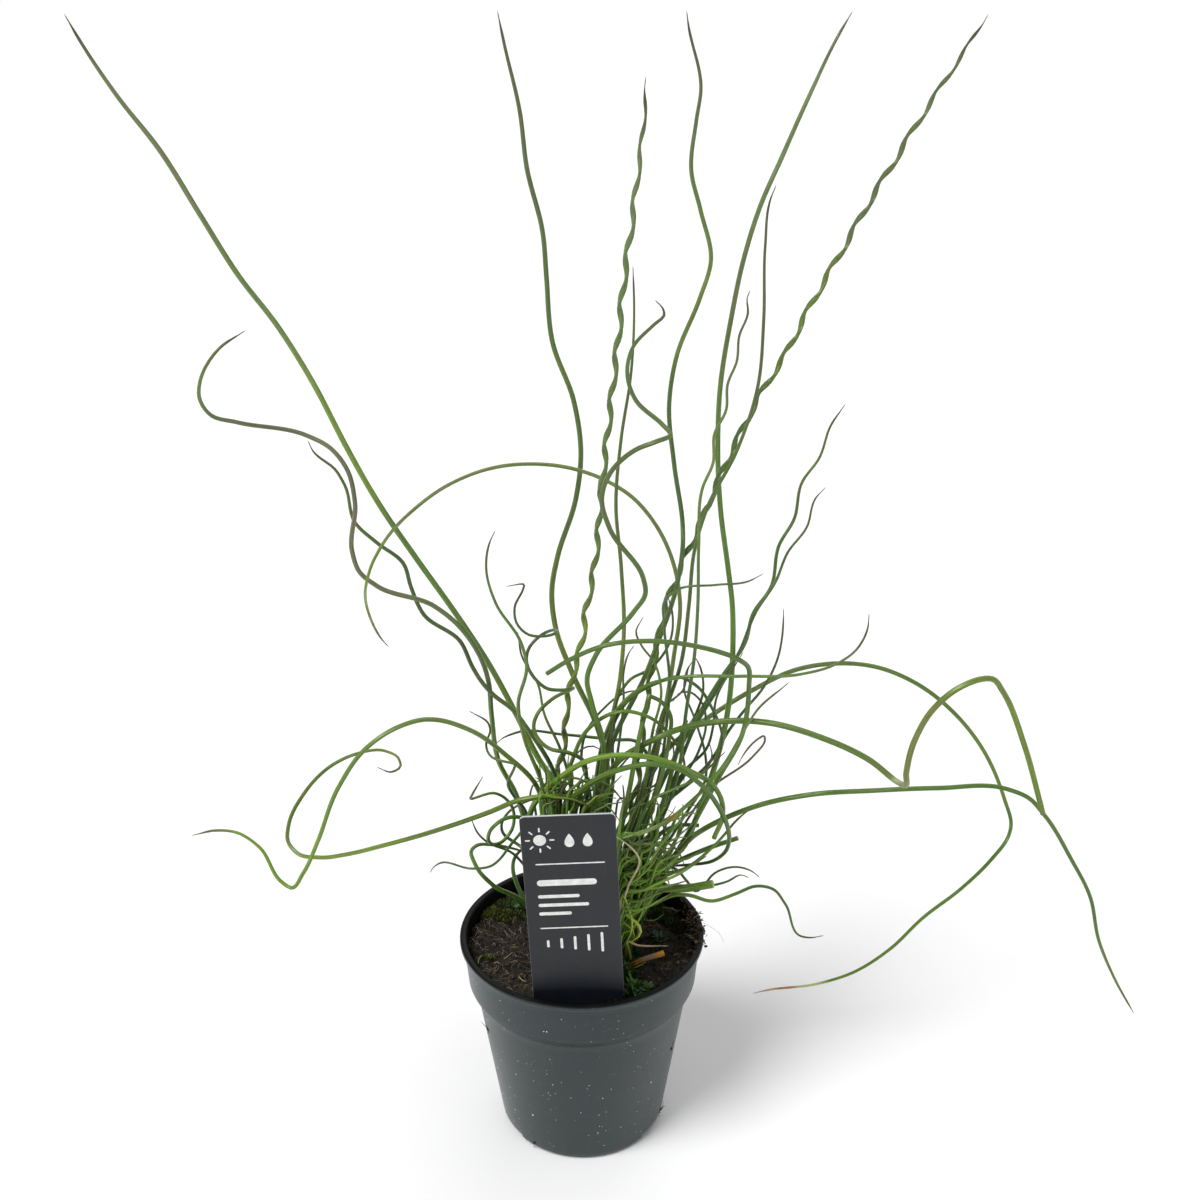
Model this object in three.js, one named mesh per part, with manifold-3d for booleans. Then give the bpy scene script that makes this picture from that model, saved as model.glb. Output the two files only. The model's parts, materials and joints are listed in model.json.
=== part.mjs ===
// A corkscrew rush growing in a thin plastic nursery pot, with a stick-in label.
//
// Millimetres, +Z up. The origin is the middle of the pot's base, on the ground. +X is to the
// right of the label's face and -Y is towards the reader of the label.
//
// The pot, the soil, the label and every leafless stem are separate solids. Each stem stands
// in a plain hole of its own in the soil.

import * as THREE from 'three';
import { mergeVertices } from 'three/addons/utils/BufferGeometryUtils.js';
import Module from 'manifold-3d';

const wasm = await Module();
wasm.setup();

// ---- driving dimensions ----------------------------------------------------------------

// Pot: a round 90 mm nursery pot.
const POT_HEIGHT = 80;
const LIP_RADIUS = 45;
const LIP_HEIGHT = 1.7;
const BAND_TOP_RADIUS = 43.8;
const BAND_BOTTOM_RADIUS = 42;
const BAND_HEIGHT = 20.7;
const BAND_CHAMFER = 2.8;
const BODY_TOP_RADIUS = 39.6;
const BODY_BOTTOM_RADIUS = 30.6;
const FOOT_RADIUS = 29.2;
const FOOT_CHAMFER = 1.8;
const WALL = 1.3;
const POT_SIDES = 40;
const NOTCH_COUNT = 3;
const NOTCH_WIDTH = 14;
const NOTCH_HEIGHT = 3;
const NOTCH_DEPTH = 5;
const NOTCH_START = 0.75;
const LIP_UNDERCUT = 0.6;
const LIP_ROUND = 0.5;

// Soil.
const GAP = 0.3;
const SOIL_EDGE = 71.5;
const SOIL_CROWN = 1.8;
const SOIL_LUMP = 0.55;
const SOIL_SIDES = 28;
const SOIL_RINGS = [40.6, 30, 20, 10];
const FOOT_DEPTH = 14;
const RUNNER_LEVELS = { back_tuft: 52.5, front_tuft: 47.5 };
const RUNNER_RADIUS = 1.5;
const RUNNER_SIDES = 5;
const HOLE_SIDES = 5;
const SLIVER = 0.03;
const CUT_BEYOND = 4;

// Label: a flat card with round top corners and a pointed tongue.
const LABEL_WIDTH = 31.5;
const LABEL_TOP = 152.3;
const LABEL_SHOULDER = 77;
const LABEL_TIP = 55;
const TONGUE_WIDTH = 12;
const TONGUE_POINT = 6;
const SHOULDER_DROP = 3;
const LABEL_CORNER = 1.8;
const LABEL_THICKNESS = 0.8;
const LABEL_PLACE = new THREE.Vector3(-0.6, -35.6, LABEL_SHOULDER);
const LABEL_LEAN = THREE.MathUtils.degToRad(2.4);
const LABEL_TILT = THREE.MathUtils.degToRad(2.6);

// Stems.
const STEM_SIDES = 5;
const THIN_SIDES = 4;
const THIN_STEM = 1.95;
const RIBBON_SIDES = 4;
const RINGS_A_TURN = 7;
const SAMPLE_STEP = 1;
const TIP_THICKNESS = 0.62;
const TIP_TAPER = 45;
const TIP_LENGTH = 1.2;
const ROOT_SPACING = 3.5;
const CLEARANCE = 0.95;
const CHORD_ERROR = 0.62;
const FOOT_ERROR = 0.06;
const LONGEST_STEP = 22;

// ---- the front drawing -----------------------------------------------------------------

// Stem routes are drawn on a square of 1200 units as the plant is seen from EYE, looking
// down by PITCH. A route point is [across, down, y]: it lies on the line of sight through
// that spot of the drawing, where the line has the depth y. A point with no y takes its
// depth from its neighbours on the route.
const EYE = new THREE.Vector3(6.7, -433.9, 388.4);
const PITCH = THREE.MathUtils.degToRad(22.16);
const DRAWING_CENTRE = 600;
const DRAWING_SCALE = 1400;
const FORWARD = new THREE.Vector3(0, Math.cos(PITCH), -Math.sin(PITCH));
const UPWARD = new THREE.Vector3(0, Math.sin(PITCH), Math.cos(PITCH));

function lineOfSight(across, down) {
  const right = (across - DRAWING_CENTRE) / DRAWING_SCALE;
  const up = (DRAWING_CENTRE - down) / DRAWING_SCALE;
  return FORWARD.clone().addScaledVector(UPWARD, up).add(new THREE.Vector3(right, 0, 0));
}

function drawnPoint(across, down, y) {
  const sight = lineOfSight(across, down);
  return EYE.clone().addScaledVector(sight, (y - EYE.y) / sight.y);
}

// ---- colours ---------------------------------------------------------------------------

const POT_PLASTIC = { color: 0x3f4b50, roughness: 0.45, metalness: 0 };
const PEAT = { color: 0x2b231c, roughness: 0.95, metalness: 0 };
const CARD = { color: 0x3a3c42, roughness: 0.5, metalness: 0 };
const FRESH = { color: 0x5d8a3c, roughness: 0.4, metalness: 0 };
const DARK = { color: 0x3c6633, roughness: 0.4, metalness: 0 };
const OLIVE = { color: 0x6f8240, roughness: 0.45, metalness: 0 };
const DRY = { color: 0xb59a70, roughness: 0.8, metalness: 0 };
const RUSTY = { color: 0xa5672e, roughness: 0.8, metalness: 0 };

// ---- the stems -------------------------------------------------------------------------

// root: where the stem leaves the soil, [x, y]. thick: its thickness at the root and where
// the tip's taper starts. A stem with cut: true ends in a flat cut instead of a tip, and one
// with turn is a flat ribbon wound on itself, one turn in that many millimetres. Stems with
// the same tuft grow from one runner.
const STEMS = {
  tall_left: {
    root: [-7, 6], thick: [2.3, 1.6], look: FRESH,
    route: [[554, 784, 8], [543, 766], [533, 747], [523, 727], [501, 686, 10], [472, 636],
      [446, 600, 14], [400, 535], [364, 480], [331, 417, 24], [295, 351], [259, 302], [226, 258, 30],
      [184, 188], [142, 125], [108, 85, 34], [88, 55], [76, 34], [66, 17, 36]],
  },
  hooked_left: {
    root: [-13, 7], thick: [2.0, 1.3], look: DARK,
    route: [[519, 800, 7], [508, 782], [500, 765], [495, 745], [492, 725, 3], [491, 700], [485, 668],
      [470, 640], [440, 609, -4], [416, 601], [383, 589], [364, 577, -12], [354, 562], [352, 545],
      [355, 507, -12], [353, 486], [344, 464, -8], [329, 447], [308, 436, -4], [283, 429],
      [256, 425, -9], [230, 421], [212, 416, -16], [201, 403], [199, 386, -20], [205, 369],
      [215, 353, -17], [228, 341], [243, 332, -12]],
  },
  wavy_left: {
    root: [-9, 2], thick: [1.9, 1.2], look: DARK,
    route: [[557, 781, 1], [547, 765], [536, 744], [525, 724, -1], [512, 709], [497, 698], [485, 686, 0],
      [474, 670], [466, 650, 3], [456, 637], [440, 628], [425, 616, 6], [414, 598], [409, 578, 9],
      [403, 563], [390, 551, 8], [370, 538], [356, 524, 5], [350, 508], [346, 491, 2], [341, 476],
      [327, 464, 3], [314, 453], [309, 443, 5]],
  },
  drooping_left: {
    root: [-13, -2], thick: [2.0, 1.2], look: FRESH,
    route: [[541, 796, -6], [530, 779], [516, 764, -10], [492, 744], [472, 731, -18], [440, 720.5],
      [425, 719.5, -26], [408, 723], [390, 731], [373, 742, -32], [358, 757], [345, 775], [335, 795, -36],
      [327, 815], [319, 838], [311, 858, -37], [302, 875], [290, 888, -35], [280, 880], [272, 865, -32],
      [262, 850], [245, 836, -28], [225, 830], [208, 832], [194, 835, -24]],
  },
  lasso_left: {
    root: [9, -6], thick: [2.1, 1.2], look: OLIVE,
    route: [[598, 814, -14], [575, 800, -18], [550, 796, -21], [520, 800], [500, 808, -22], [459, 823],
      [408, 839, -16], [356, 852], [331, 857, -6], [312, 857], [297, 853, -1], [289, 844], [287, 833, 4],
      [291, 818], [299, 801, 9], [311, 785], [325, 771, 13], [340, 760], [356, 754, 14], [372, 751],
      [385, 751, 12], [395, 755], [401, 763, 8], [399, 769], [392, 772, 6], [385, 771], [379, 768, 5]],
  },
  arch_front: {
    root: [-12, -7], thick: [2.2, 1.7], look: FRESH, cut: true,
    route: [[528, 818, -14], [534, 806], [543, 794, -17], [555, 782], [570, 770, -21], [585, 762],
      [602, 757, -24], [622, 755], [642, 756, -25], [660, 761], [680, 768, -23], [700, 776],
      [712, 784, -19], [719, 794], [723, 806, -15], [722, 820], [718, 830], [714, 838, -12]],
  },
  arch_front_coiled: {
    root: [-5, -10], thick: [2.2, 1.5], look: FRESH,
    route: [[566, 808, -18], [572, 798], [585, 787, -22], [600, 778], [615, 771, -27], [632, 767],
      [650, 764, -30], [670, 766], [688, 774, -28], [702, 786], [713, 799, -23], [722, 813],
      [728, 829, -15], [729, 841], [725, 852, -7], [715, 860], [700, 864, 1], [682, 865], [664, 867, 7]],
  },
  sprig_right: {
    root: [14, -4], thick: [1.9, 1.0], look: FRESH,
    route: [[640, 888, -7], [664, 878], [688, 867, -10], [703, 857], [714, 846, -12], [722, 836],
      [730, 828, -12], [740, 817], [751, 809, -11]],
  },
  tall_mid_left: {
    root: [3, 12], thick: [2.2, 1.6], look: FRESH,
    route: [[607, 780, 14], [606, 755], [600, 735], [593, 716, 19], [575, 679], [565, 657, 25],
      [557, 634], [552, 598, 32], [553, 577], [561, 545], [573, 510, 42], [580, 475], [580, 435, 48],
      [574, 402], [563, 372, 52], [552, 340], [547, 292, 57], [545, 244], [534, 202, 62], [526, 162],
      [525, 142], [517, 98, 66], [507, 56], [502, 34, 68], [498, 14, 69]],
  },
  ribbon_left: {
    root: [-4, 9], thick: [2.4, 1.8], look: OLIVE, turn: 15.5,
    route: [[554, 790, 8], [560, 765], [565, 735, 7], [567, 704], [573, 675, 5], [582, 640],
      [586, 610, 3], [593, 575], [598, 535, 1], [600, 505], [604, 465, -3], [609, 420], [614, 375, -8],
      [619, 330], [624, 280, -13], [631, 229], [637, 180, -18], [642, 140], [645, 105, -21], [646, 80, -22]],
  },
  tall_mid_right: {
    root: [4, 6], thick: [1.9, 1.4], look: DARK,
    route: [[602, 792, 7], [606, 765], [613, 741], [628, 710, 10], [645, 676], [663, 628, 16],
      [677, 585], [683, 540, 24], [680, 500], [672, 450, 31], [669, 415], [673, 370, 37], [690, 320],
      [704, 288, 43], [711, 259], [703, 219, 48], [692, 179], [693, 137, 52], [700, 105], [701, 91, 55],
      [696, 70], [691, 45, 58], [689, 30], [687, 14, 59]],
  },
  tall_right: {
    root: [12, 4], thick: [2.2, 1.6], look: FRESH,
    route: [[676, 856, 0], [688, 838], [699, 810, 3], [710, 780], [719, 752, 10], [728, 710],
      [732, 665, 22], [733, 620], [731, 590, 33], [724, 540], [719, 490, 44], [718, 430], [721, 380, 55],
      [730, 325], [738, 282, 63], [755, 221], [767, 190, 69], [793, 133], [816, 81, 74], [837, 38, 77],
      [851, 14, 79]],
  },
  ribbon_right: {
    root: [7, 10], thick: [2.4, 1.8], look: FRESH, turn: 15.5,
    route: [[636, 790, 12], [641, 745], [647, 700, 16], [656, 650], [666, 605, 20], [684, 560],
      [703, 517, 23], [722, 472], [742, 430, 26], [763, 390], [785, 355, 29], [806, 314], [826, 278, 30],
      [848, 240], [870, 201, 29], [895, 160], [920, 119, 26], [948, 76], [973, 38, 22], [986, 17, 20]],
  },
  long_thin: {
    root: [9, 7], thick: [1.8, 0.9], look: OLIVE,
    route: [[655, 745, 6], [664, 715], [673, 687, 4], [683, 655], [688, 615, 0], [691, 580], [695, 548, -3],
      [703, 517], [716, 492, -6], [730, 466], [742, 438, -9], [752, 410], [759, 380, -12], [763, 345],
      [764, 300, -16], [765, 259], [766, 227, -19], [769, 204], [775, 188, -21]],
  },
  thin_wavy: {
    root: [10, 2], thick: [1.6, 0.8], look: DARK,
    route: [[677, 778, -3], [682, 735], [690, 690, -7], [696, 640], [698, 600, -13], [697, 565],
      [700, 530, -18], [700, 500], [704, 484], [711, 472, -22], [714, 455], [713, 439], [718, 428, -25],
      [725, 415], [727, 402, -28], [726, 389], [730, 380], [736, 368, -30], [737, 353], [737, 341, -32],
      [744, 328], [748, 313, -35], [746, 301], [749, 293, -36]],
  },
  straight_thin: {
    root: [1, 2], thick: [2.1, 0.9], look: OLIVE,
    route: [[605, 790, 1], [607, 755], [611, 722, 2], [619, 685], [623, 650, 5], [624, 611], [621, 565, 12],
      [617, 525], [616, 490, 18], [621, 440], [628, 395, 25], [633, 355], [634, 320, 30], [634, 290],
      [633, 269, 33]],
  },
  s_curve: {
    root: [-1, -4], thick: [2.1, 1.3], look: FRESH,
    route: [[598, 790, -7], [604, 760], [602, 735, -8], [595, 712], [588, 692, -10], [588, 672],
      [596, 655, -13], [611, 637], [631, 615, -18], [643, 600], [646, 587, -22], [640, 572], [624, 550, -26],
      [609, 527], [602, 503, -30], [604, 485], [615, 467, -33], [637, 449], [655, 442, -35], [667, 438],
      [671, 434, -32], [664, 426, -29], [649, 415], [635, 399, -27], [628, 380], [628, 361, -29],
      [636, 342], [650, 328, -34], [662, 318], [665, 312, -38], [662, 307], [657, 302, -40]],
  },
  great_arc: {
    root: [7, 14], thick: [2.0, 1.0], look: OLIVE,
    route: [[642, 820, 15], [650, 785], [657, 750, 21], [666, 705], [674, 655, 31], [680, 611],
      [677, 577, 38], [664, 540], [645, 510, 42], [620, 488], [590, 474, 42], [560, 466], [530, 464, 36],
      [497, 467], [462, 478, 22], [428, 498], [405, 518, 2], [387, 538], [373, 562, -18], [366, 585],
      [366, 605, -30], [372, 622], [379, 636, -37], [387, 645, -40]],
  },
  wavy_mid_left: {
    root: [-8, -5], thick: [1.9, 0.9], look: FRESH,
    route: [[546, 797, -7], [537, 772], [528, 748, -14], [521, 728], [518, 708, -21], [522, 685],
      [526, 665, -26], [525, 650], [518, 638, -26], [508, 625], [497, 606, -24], [489, 585], [486, 564, -23],
      [488, 547], [494, 533, -23]],
  },
  spiral_mid: {
    root: [-3, -6], thick: [1.8, 0.9], look: DARK,
    route: [[586, 790, -9], [584, 762, -10], [570, 753, -12], [555, 751, -12], [542, 743, -9], [534, 730, -3],
      [536, 716, 2], [546, 704, 4], [560, 695, 1], [574, 688, -6], [564, 690, -14], [548, 689, -18],
      [536, 680, -17], [527, 664, -12], [529, 648, -6], [540, 636, -4], [553, 630, -7], [557, 632, -12],
      [546, 636, -17], [533, 636, -18], [521, 630, -17], [514, 613, -14], [518, 598, -12], [524, 588, -12],
      [523, 584, -14], [509, 586, -15]],
  },
  thin_left: {
    root: [-5, 1], thick: [1.6, 0.8], look: DARK,
    route: [[568, 772, 2], [560, 748, 4], [551, 732], [545, 718, 8], [543, 703], [539, 687, 12],
      [532, 675], [524, 662, 11], [520, 649], [518, 634, 9]],
  },
  ring_left: {
    root: [8, 17], thick: [1.7, 1.1], look: DARK,
    route: [[650, 785, 19], [648, 758], [639, 743, 22], [619, 740, 25], [593, 739], [568, 735, 23],
      [539, 733, 18], [516, 733, 14], [505, 736], [498, 742, 11]],
  },
  curl_left: {
    root: [-12, 2], thick: [1.7, 0.8], look: DARK,
    route: [[524, 808, -8], [512, 794, -14], [508, 783, -17], [511, 772, -18], [516, 765, -20],
      [507, 762, -21], [496, 760, -20], [489, 754, -18], [486, 745, -15], [488, 736, -13], [491, 729, -13],
      [487, 722, -14], [480, 718, -15], [471, 712, -16]],
  },
  cut_arc: {
    root: [15, 3], thick: [1.9, 1.5], look: FRESH, cut: true,
    route: [[690, 830, -7], [702, 808], [713, 788, -13], [724, 768], [735, 750, -17], [743, 732],
      [748, 708, -20], [749, 686, -21], [749, 670, -23], [745, 663, -26], [736, 659, -28], [713, 651],
      [690, 645, -31], [660, 641], [630, 642, -32], [599, 647], [575, 657, -29], [547, 673.5, -26]],
  },
  swept_right: {
    root: [2, 8], thick: [1.9, 0.9], look: FRESH,
    route: [[595, 792, 6], [598, 765], [603, 742, 1], [612, 720], [622, 704, -5], [637, 691],
      [655, 682, -10], [675, 678], [700, 676, -14], [730, 676], [765, 677, -17], [796, 675], [815, 671, -18],
      [834, 665], [847, 658, -16], [857, 649], [864, 638, -13], [868, 627], [869, 616, -11]],
  },
  long_arch_right: {
    root: [11, 13], thick: [2.1, 1.1], look: FRESH,
    route: [[640, 792, 14], [654, 767], [672, 745, 18], [690, 730], [717, 712, 24], [751, 691],
      [789, 672, 32], [828, 664], [866, 665, 38], [900, 675], [932, 694, 40], [960, 719], [982, 748, 39],
      [997, 778], [1007, 808, 37], [1011, 826, 36], [1010, 833, 33], [998, 851, 30], [976, 876],
      [950, 897, 28], [926, 915, 27], [915, 926], [890, 949, 29], [860, 969], [830, 981, 32],
      [795, 987], [768, 990, 35], [755, 993, 36]],
  },
  kinked_right: {
    root: [6, -3], thick: [2.3, 1.8], look: FRESH, cut: true,
    route: [[606, 785, -3], [614, 766], [629, 753, -5], [649, 742], [668, 733, -8], [707, 723],
      [745, 721, -16], [776, 724], [802, 731, -22], [840, 745], [866, 758, -28], [885, 771], [898, 782, -32],
      [904, 786, -34], [906, 779, -37], [907, 762], [914, 742, -39], [924, 722], [939, 703, -39], [957, 689],
      [975, 681, -38], [988, 678], [994, 680, -35], [1000, 687, -33], [1010, 705], [1021, 735, -32],
      [1028, 757], [1036, 787, -32], [1043, 814, -32]],
  },
  long_right: {
    root: [15, -1], thick: [2.2, 1.1], look: FRESH,
    route: [[656, 882, -3], [668, 866], [679, 851, -4], [692, 837], [710, 826, -6], [735, 815],
      [765, 803, -8], [800, 796], [840, 792, -11], [890, 790], [940, 788, -16], [985, 787], [1008, 789, -19],
      [1022, 794], [1036, 804, -20], [1048, 821], [1062, 845, -19], [1080, 873], [1088, 890, -17],
      [1094, 915], [1099, 941, -14], [1108, 965], [1120, 989, -11], [1133, 1012, -9]],
  },
  upright_right: {
    root: [12, 8], thick: [1.7, 0.9], look: DARK,
    route: [[661, 812, 5], [675, 795], [690, 780, 8], [714, 757], [728, 732, 13], [742, 713],
      [755, 699, 17], [765, 685], [773, 671, 19], [780, 649], [783, 629, 20], [783.5, 611, 20]],
  },
  slim_right: {
    root: [0, -15], thick: [2.3, 0.8], look: FRESH,
    route: [[606, 846, -19], [619, 840, -20], [634, 835], [648, 831, -19], [662, 824], [676, 815, -18],
      [688, 805], [697, 796, -17], [706, 787], [717, 774, -21], [727, 760], [736, 746, -26], [744, 732],
      [751, 718, -29], [761, 706], [774, 695, -29], [787, 684, -29]],
  },
  dry_hairpin: {
    root: [18, 7], thick: [1.0, 0.8], look: DRY,
    route: [[700, 800, 9], [710, 789], [720, 780, 7], [732, 773], [746, 763, 4], [757, 752],
      [764, 743, 2], [765, 738, 0], [761, 736, -2], [754, 743, -3], [745, 752, -3], [739, 763, -3]],
  },
  hooked_thin: {
    root: [7, 2], thick: [1.5, 0.8], look: DARK,
    route: [[655, 792, 2], [661, 762], [666, 730, 0], [669, 695], [669, 662, -5], [665, 630],
      [663, 610, -9], [667, 597], [677, 590, -11], [694, 586], [713, 585, -13], [735, 584], [752, 580, -14],
      [761, 575, -14]],
  },
  curl_mid: {
    root: [4, -1], thick: [1.6, 0.8], look: FRESH,
    route: [[644, 795, -5], [648, 760], [653, 730, -8], [659, 708], [661, 688, -12], [657, 668],
      [648, 653, -14], [639, 642], [636, 632, -12], [638, 625], [642, 619, -9]],
  },
  thin_mid: {
    root: [0, 5], thick: [1.4, 0.8], look: DARK,
    route: [[612, 785, -2], [616, 755], [621, 728, -3], [624, 705], [622, 685, -4], [624, 670],
      [627, 656, -6], [633, 647, -7]],
  },
  thin_back: {
    root: [14, 11], thick: [1.5, 0.8], look: DARK,
    route: [[706, 775, 14], [706, 757], [700, 735, 18], [693, 714], [686, 697, 21], [684, 682],
      [688, 668, 22], [693, 661, 22]],
  },
  cut_mid: {
    root: [3, -8], thick: [2.0, 1.7], look: FRESH, cut: true,
    route: [[628, 800, -9], [633, 768], [641, 730, -6], [649, 696, -4]],
  },
  cut_mid_right: {
    root: [10, -3], thick: [1.9, 1.6], look: FRESH, cut: true,
    route: [[664, 800, -2], [672, 770], [680, 742, 1], [686, 720, 3]],
  },
  wavy_right: {
    root: [9, 4], thick: [2.0, 1.0], look: FRESH,
    route: [[668, 770, 8], [682, 742], [698, 717, 13], [715, 687], [732, 663, 20], [745, 643],
      [750, 620, 25], [760, 604], [770, 590, 29], [774, 570], [777, 550, 33], [785, 536], [793, 523, 36],
      [796, 507], [799, 489, 38], [807, 475], [817, 463, 40], [822, 450], [826, 435, 41], [833, 422],
      [839, 414], [844, 406, 42]],
  },
  wavy_right_thin: {
    root: [11, 5], thick: [1.8, 0.9], look: DARK,
    route: [[682, 760, 3], [690, 738], [701, 715, 5], [715, 692], [732, 668, 9], [742, 645], [750, 622, 14],
      [762, 603], [773, 588, 19], [779, 571], [785, 556, 23], [797, 543], [806, 529, 26], [810, 515],
      [813, 503, 28], [818, 495], [824, 489, 29]],
  },
  low_loop_left: {
    root: [-16, 3], thick: [2.0, 1.2], look: FRESH,
    route: [[525, 903, -1], [510, 896, -5], [495, 887, -9], [482, 873, -12], [474, 862, -13],
      [471, 854, -11], [474, 847, -7], [485, 844, -3], [500, 846, 0], [515, 849, 3], [530, 853, 5]],
  },
  low_thin_left: {
    root: [-9, -10], thick: [1.6, 0.8], look: DARK,
    route: [[560, 850, -13], [553, 824, -15], [542, 816, -17], [531, 822, -19], [521, 833, -21],
      [512, 843], [503, 854, -22], [495, 863], [486, 868, -22], [475, 869], [460, 866.5, -20],
      [448, 863.5], [439, 863, -18], [434, 866], [431, 871, -17]],
  },
  looped_left: {
    root: [-16, -2], thick: [1.8, 1.0], look: FRESH,
    route: [[542, 842, -5], [533, 823, -7], [519, 817, -10], [504, 819, -13], [493, 827, -15],
      [488, 836, -14], [492, 844, -10], [500, 843, -6], [509, 835, -3], [514, 822, -2], [513, 810, -3],
      [507, 800, -5], [498, 794, -8], [487, 793, -10], [477, 796, -12], [470, 799, -14], [472, 795, -17],
      [477, 788, -18], [482, 778, -19]],
  },
  c_loop_left: {
    root: [-18, 3], thick: [1.7, 1.0], look: DARK,
    route: [[534, 862, 8], [520, 846, 12], [510, 840], [503, 833, 13], [501, 826], [505, 817, 11],
      [512, 809], [523, 803, 12], [537, 799, 14]],
  },
  stout_left: {
    root: [-17, 8], thick: [2.1, 1.4], look: DARK,
    route: [[528, 903, 9], [518, 887, 10], [513, 871, 13], [515, 858, 17], [523, 848, 20], [536, 842, 22]],
  },
  wisp_left: {
    root: [-13, 13], thick: [1.3, 0.8], look: DARK,
    route: [[522, 862, 18], [506, 850, 15], [492, 844, 11], [481, 838, 8], [475, 828, 6], [471, 818, 6]],
  },
  cut_thick_right: {
    root: [17, -6], thick: [2.7, 2.9], look: FRESH, cut: true,
    route: [[640, 894, -8], [660, 891, -9], [688, 888, -10], [713, 884, -12]],
  },
  cut_right: {
    root: [18, 4], thick: [1.9, 1.7], look: FRESH, cut: true,
    route: [[664, 872, 4], [690, 856, 4], [714, 846, 3], [738, 838, 2]],
  },
  cut_dark_right: {
    root: [8, -8], thick: [1.6, 1.5], look: DARK, cut: true,
    route: [[650, 846, -6], [664, 831, -3], [682, 825, 1], [699, 825.5, 4]],
  },
  thin_right: {
    root: [19, -1], thick: [1.4, 0.9], look: DARK,
    route: [[664, 889, -2], [690, 888, -2], [716, 885, -3], [731, 880, -4], [742, 875, -4],
      [747, 877, -4]],
  },
  bent_right: {
    root: [18, 4], thick: [1.5, 0.8], look: DARK,
    route: [[668, 866, 6], [684, 878, 5], [693, 888, 4], [698, 892, 3], [703, 886, 4], [712, 875, 5],
      [722, 870, 6], [737, 867, 7], [748, 869, 7], [758, 876, 7]],
  },
  low_right: {
    root: [16, -9], thick: [1.7, 0.9], look: DARK,
    route: [[626, 914, -12], [642, 909, -13], [657, 902, -14], [672, 896, -15], [685, 894, -15],
      [694, 898, -15], [706, 901, -15], [719, 900, -14], [733, 895, -13], [745, 889, -12], [757, 886, -11],
      [768, 887, -10], [778, 893, -9], [790, 913, -8], [799, 932, -7], [805, 938, -7], [821, 936, -7]],
  },
  dry_kinked: {
    root: [12, -22], thick: [0.8, 0.7], look: DRY,
    route: [[620, 918, -25], [624, 897, -27], [631, 880, -28], [637.5, 866, -28], [639, 858, -28],
      [633, 849, -28], [618, 838, -28]],
  },
  young_shoot: {
    root: [18, -12], thick: [1.2, 0.8], look: OLIVE,
    route: [[624, 917, -19], [633, 921, -21], [639, 930, -22], [634, 938, -23], [628, 941, -24]],
  },
  rusty_stub: {
    root: [16, -17], thick: [1.9, 2.1], look: RUSTY, cut: true,
    route: [[631, 966, -16.5], [641, 963, -15.5], [652, 958.5, -14.5], [664, 953, -13.5]],
  },
  dead_stem: {
    root: [12, -16], thick: [0.8, 0.8], look: DRY,
    route: [[623, 941, -12], [632, 944.5, -10], [645, 946, -8], [666, 946, -6]],
  },

  // The crown's filling: two tufts, each fused through a runner in the soil.
  hoop_mid: {
    root: [-2, 7], thick: [1.8, 1.1], look: FRESH, tuft: 'back_tuft',
    route: [[602, 800, 6], [608, 760], [613, 727, 5], [622, 707], [640, 691, 3], [660, 682],
      [680, 677, 1], [693, 683], [704, 694, 0], [711, 706], [717, 720, 0], [722, 735], [721, 751],
      [715, 766, 2]],
  },
  back_curl: {
    root: [0, 13], thick: [1.6, 1.0], look: DARK, tuft: 'back_tuft',
    route: [[612, 800, 11], [611, 765], [614, 730, 11], [619, 702], [625, 684], [634, 677, 12],
      [648, 670], [658, 661], [666, 650, 13], [671, 638], [673, 622], [671, 606], [667, 594, 14]],
  },
  back_thin: {
    root: [6, 12], thick: [1.4, 0.8], look: DARK, tuft: 'back_tuft',
    route: [[644, 800, 9], [651, 770], [657, 742, 9], [659, 722], [663, 709], [672, 702, 10],
      [682, 692], [686, 680, 11], [688, 668], [694, 660, 12]],
  },
  back_hook: {
    root: [10, 12], thick: [1.5, 0.9], look: DARK, tuft: 'back_tuft',
    route: [[668, 800, 10], [688, 772], [701, 745, 12], [706, 722], [702, 703], [692, 693, 13],
      [681, 692], [674, 700, 13]],
  },
  back_lean: {
    root: [-5, 13], thick: [1.6, 0.9], look: DARK, tuft: 'back_tuft',
    route: [[592, 800, 11], [583, 770], [582, 745, 12], [592, 722], [610, 703, 13], [627, 692],
      [640, 690, 14]],
  },
  back_rise: {
    root: [16, 13], thick: [1.5, 0.9], look: DARK, tuft: 'back_tuft',
    route: [[672, 792, 12], [686, 769], [700, 757, 13], [709, 744], [713, 729], [713, 713, 14],
      [717, 697], [725, 681], [734, 667], [742, 654, 15]],
  },
  back_cross: {
    root: [4, 17], thick: [1.7, 1.0], look: DARK, tuft: 'back_tuft',
    route: [[640, 800, 14], [652, 775], [668, 750, 15], [684, 732], [697, 712, 16], [703, 692],
      [702, 672, 17], [694, 655, 17]],
  },
  low_arch_mid: {
    root: [-9, -4], thick: [1.9, 1.2], look: FRESH, tuft: 'front_tuft',
    route: [[559, 800, -3], [566, 776], [575, 755, -5], [586, 732], [600, 719, -6], [620, 711.5],
      [638, 713, -6], [655, 721], [670, 735, -4], [680, 751], [685, 766], [684, 781, -3]],
  },
  front_arc: {
    root: [-8, -12], thick: [1.5, 0.9], look: FRESH, tuft: 'front_tuft',
    route: [[540, 822, -12], [545, 801], [557, 785, -13], [574, 778], [592, 786, -14], [604, 800, -14]],
  },
  front_low: {
    root: [-3, -13], thick: [1.6, 1.0], look: FRESH, tuft: 'front_tuft',
    route: [[562, 818, -12], [566, 797], [579, 783, -11], [595, 780], [611, 787, -11], [623, 802, -11]],
  },
  front_light: {
    root: [4, -13], thick: [1.5, 1.0], look: FRESH, tuft: 'front_tuft',
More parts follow.
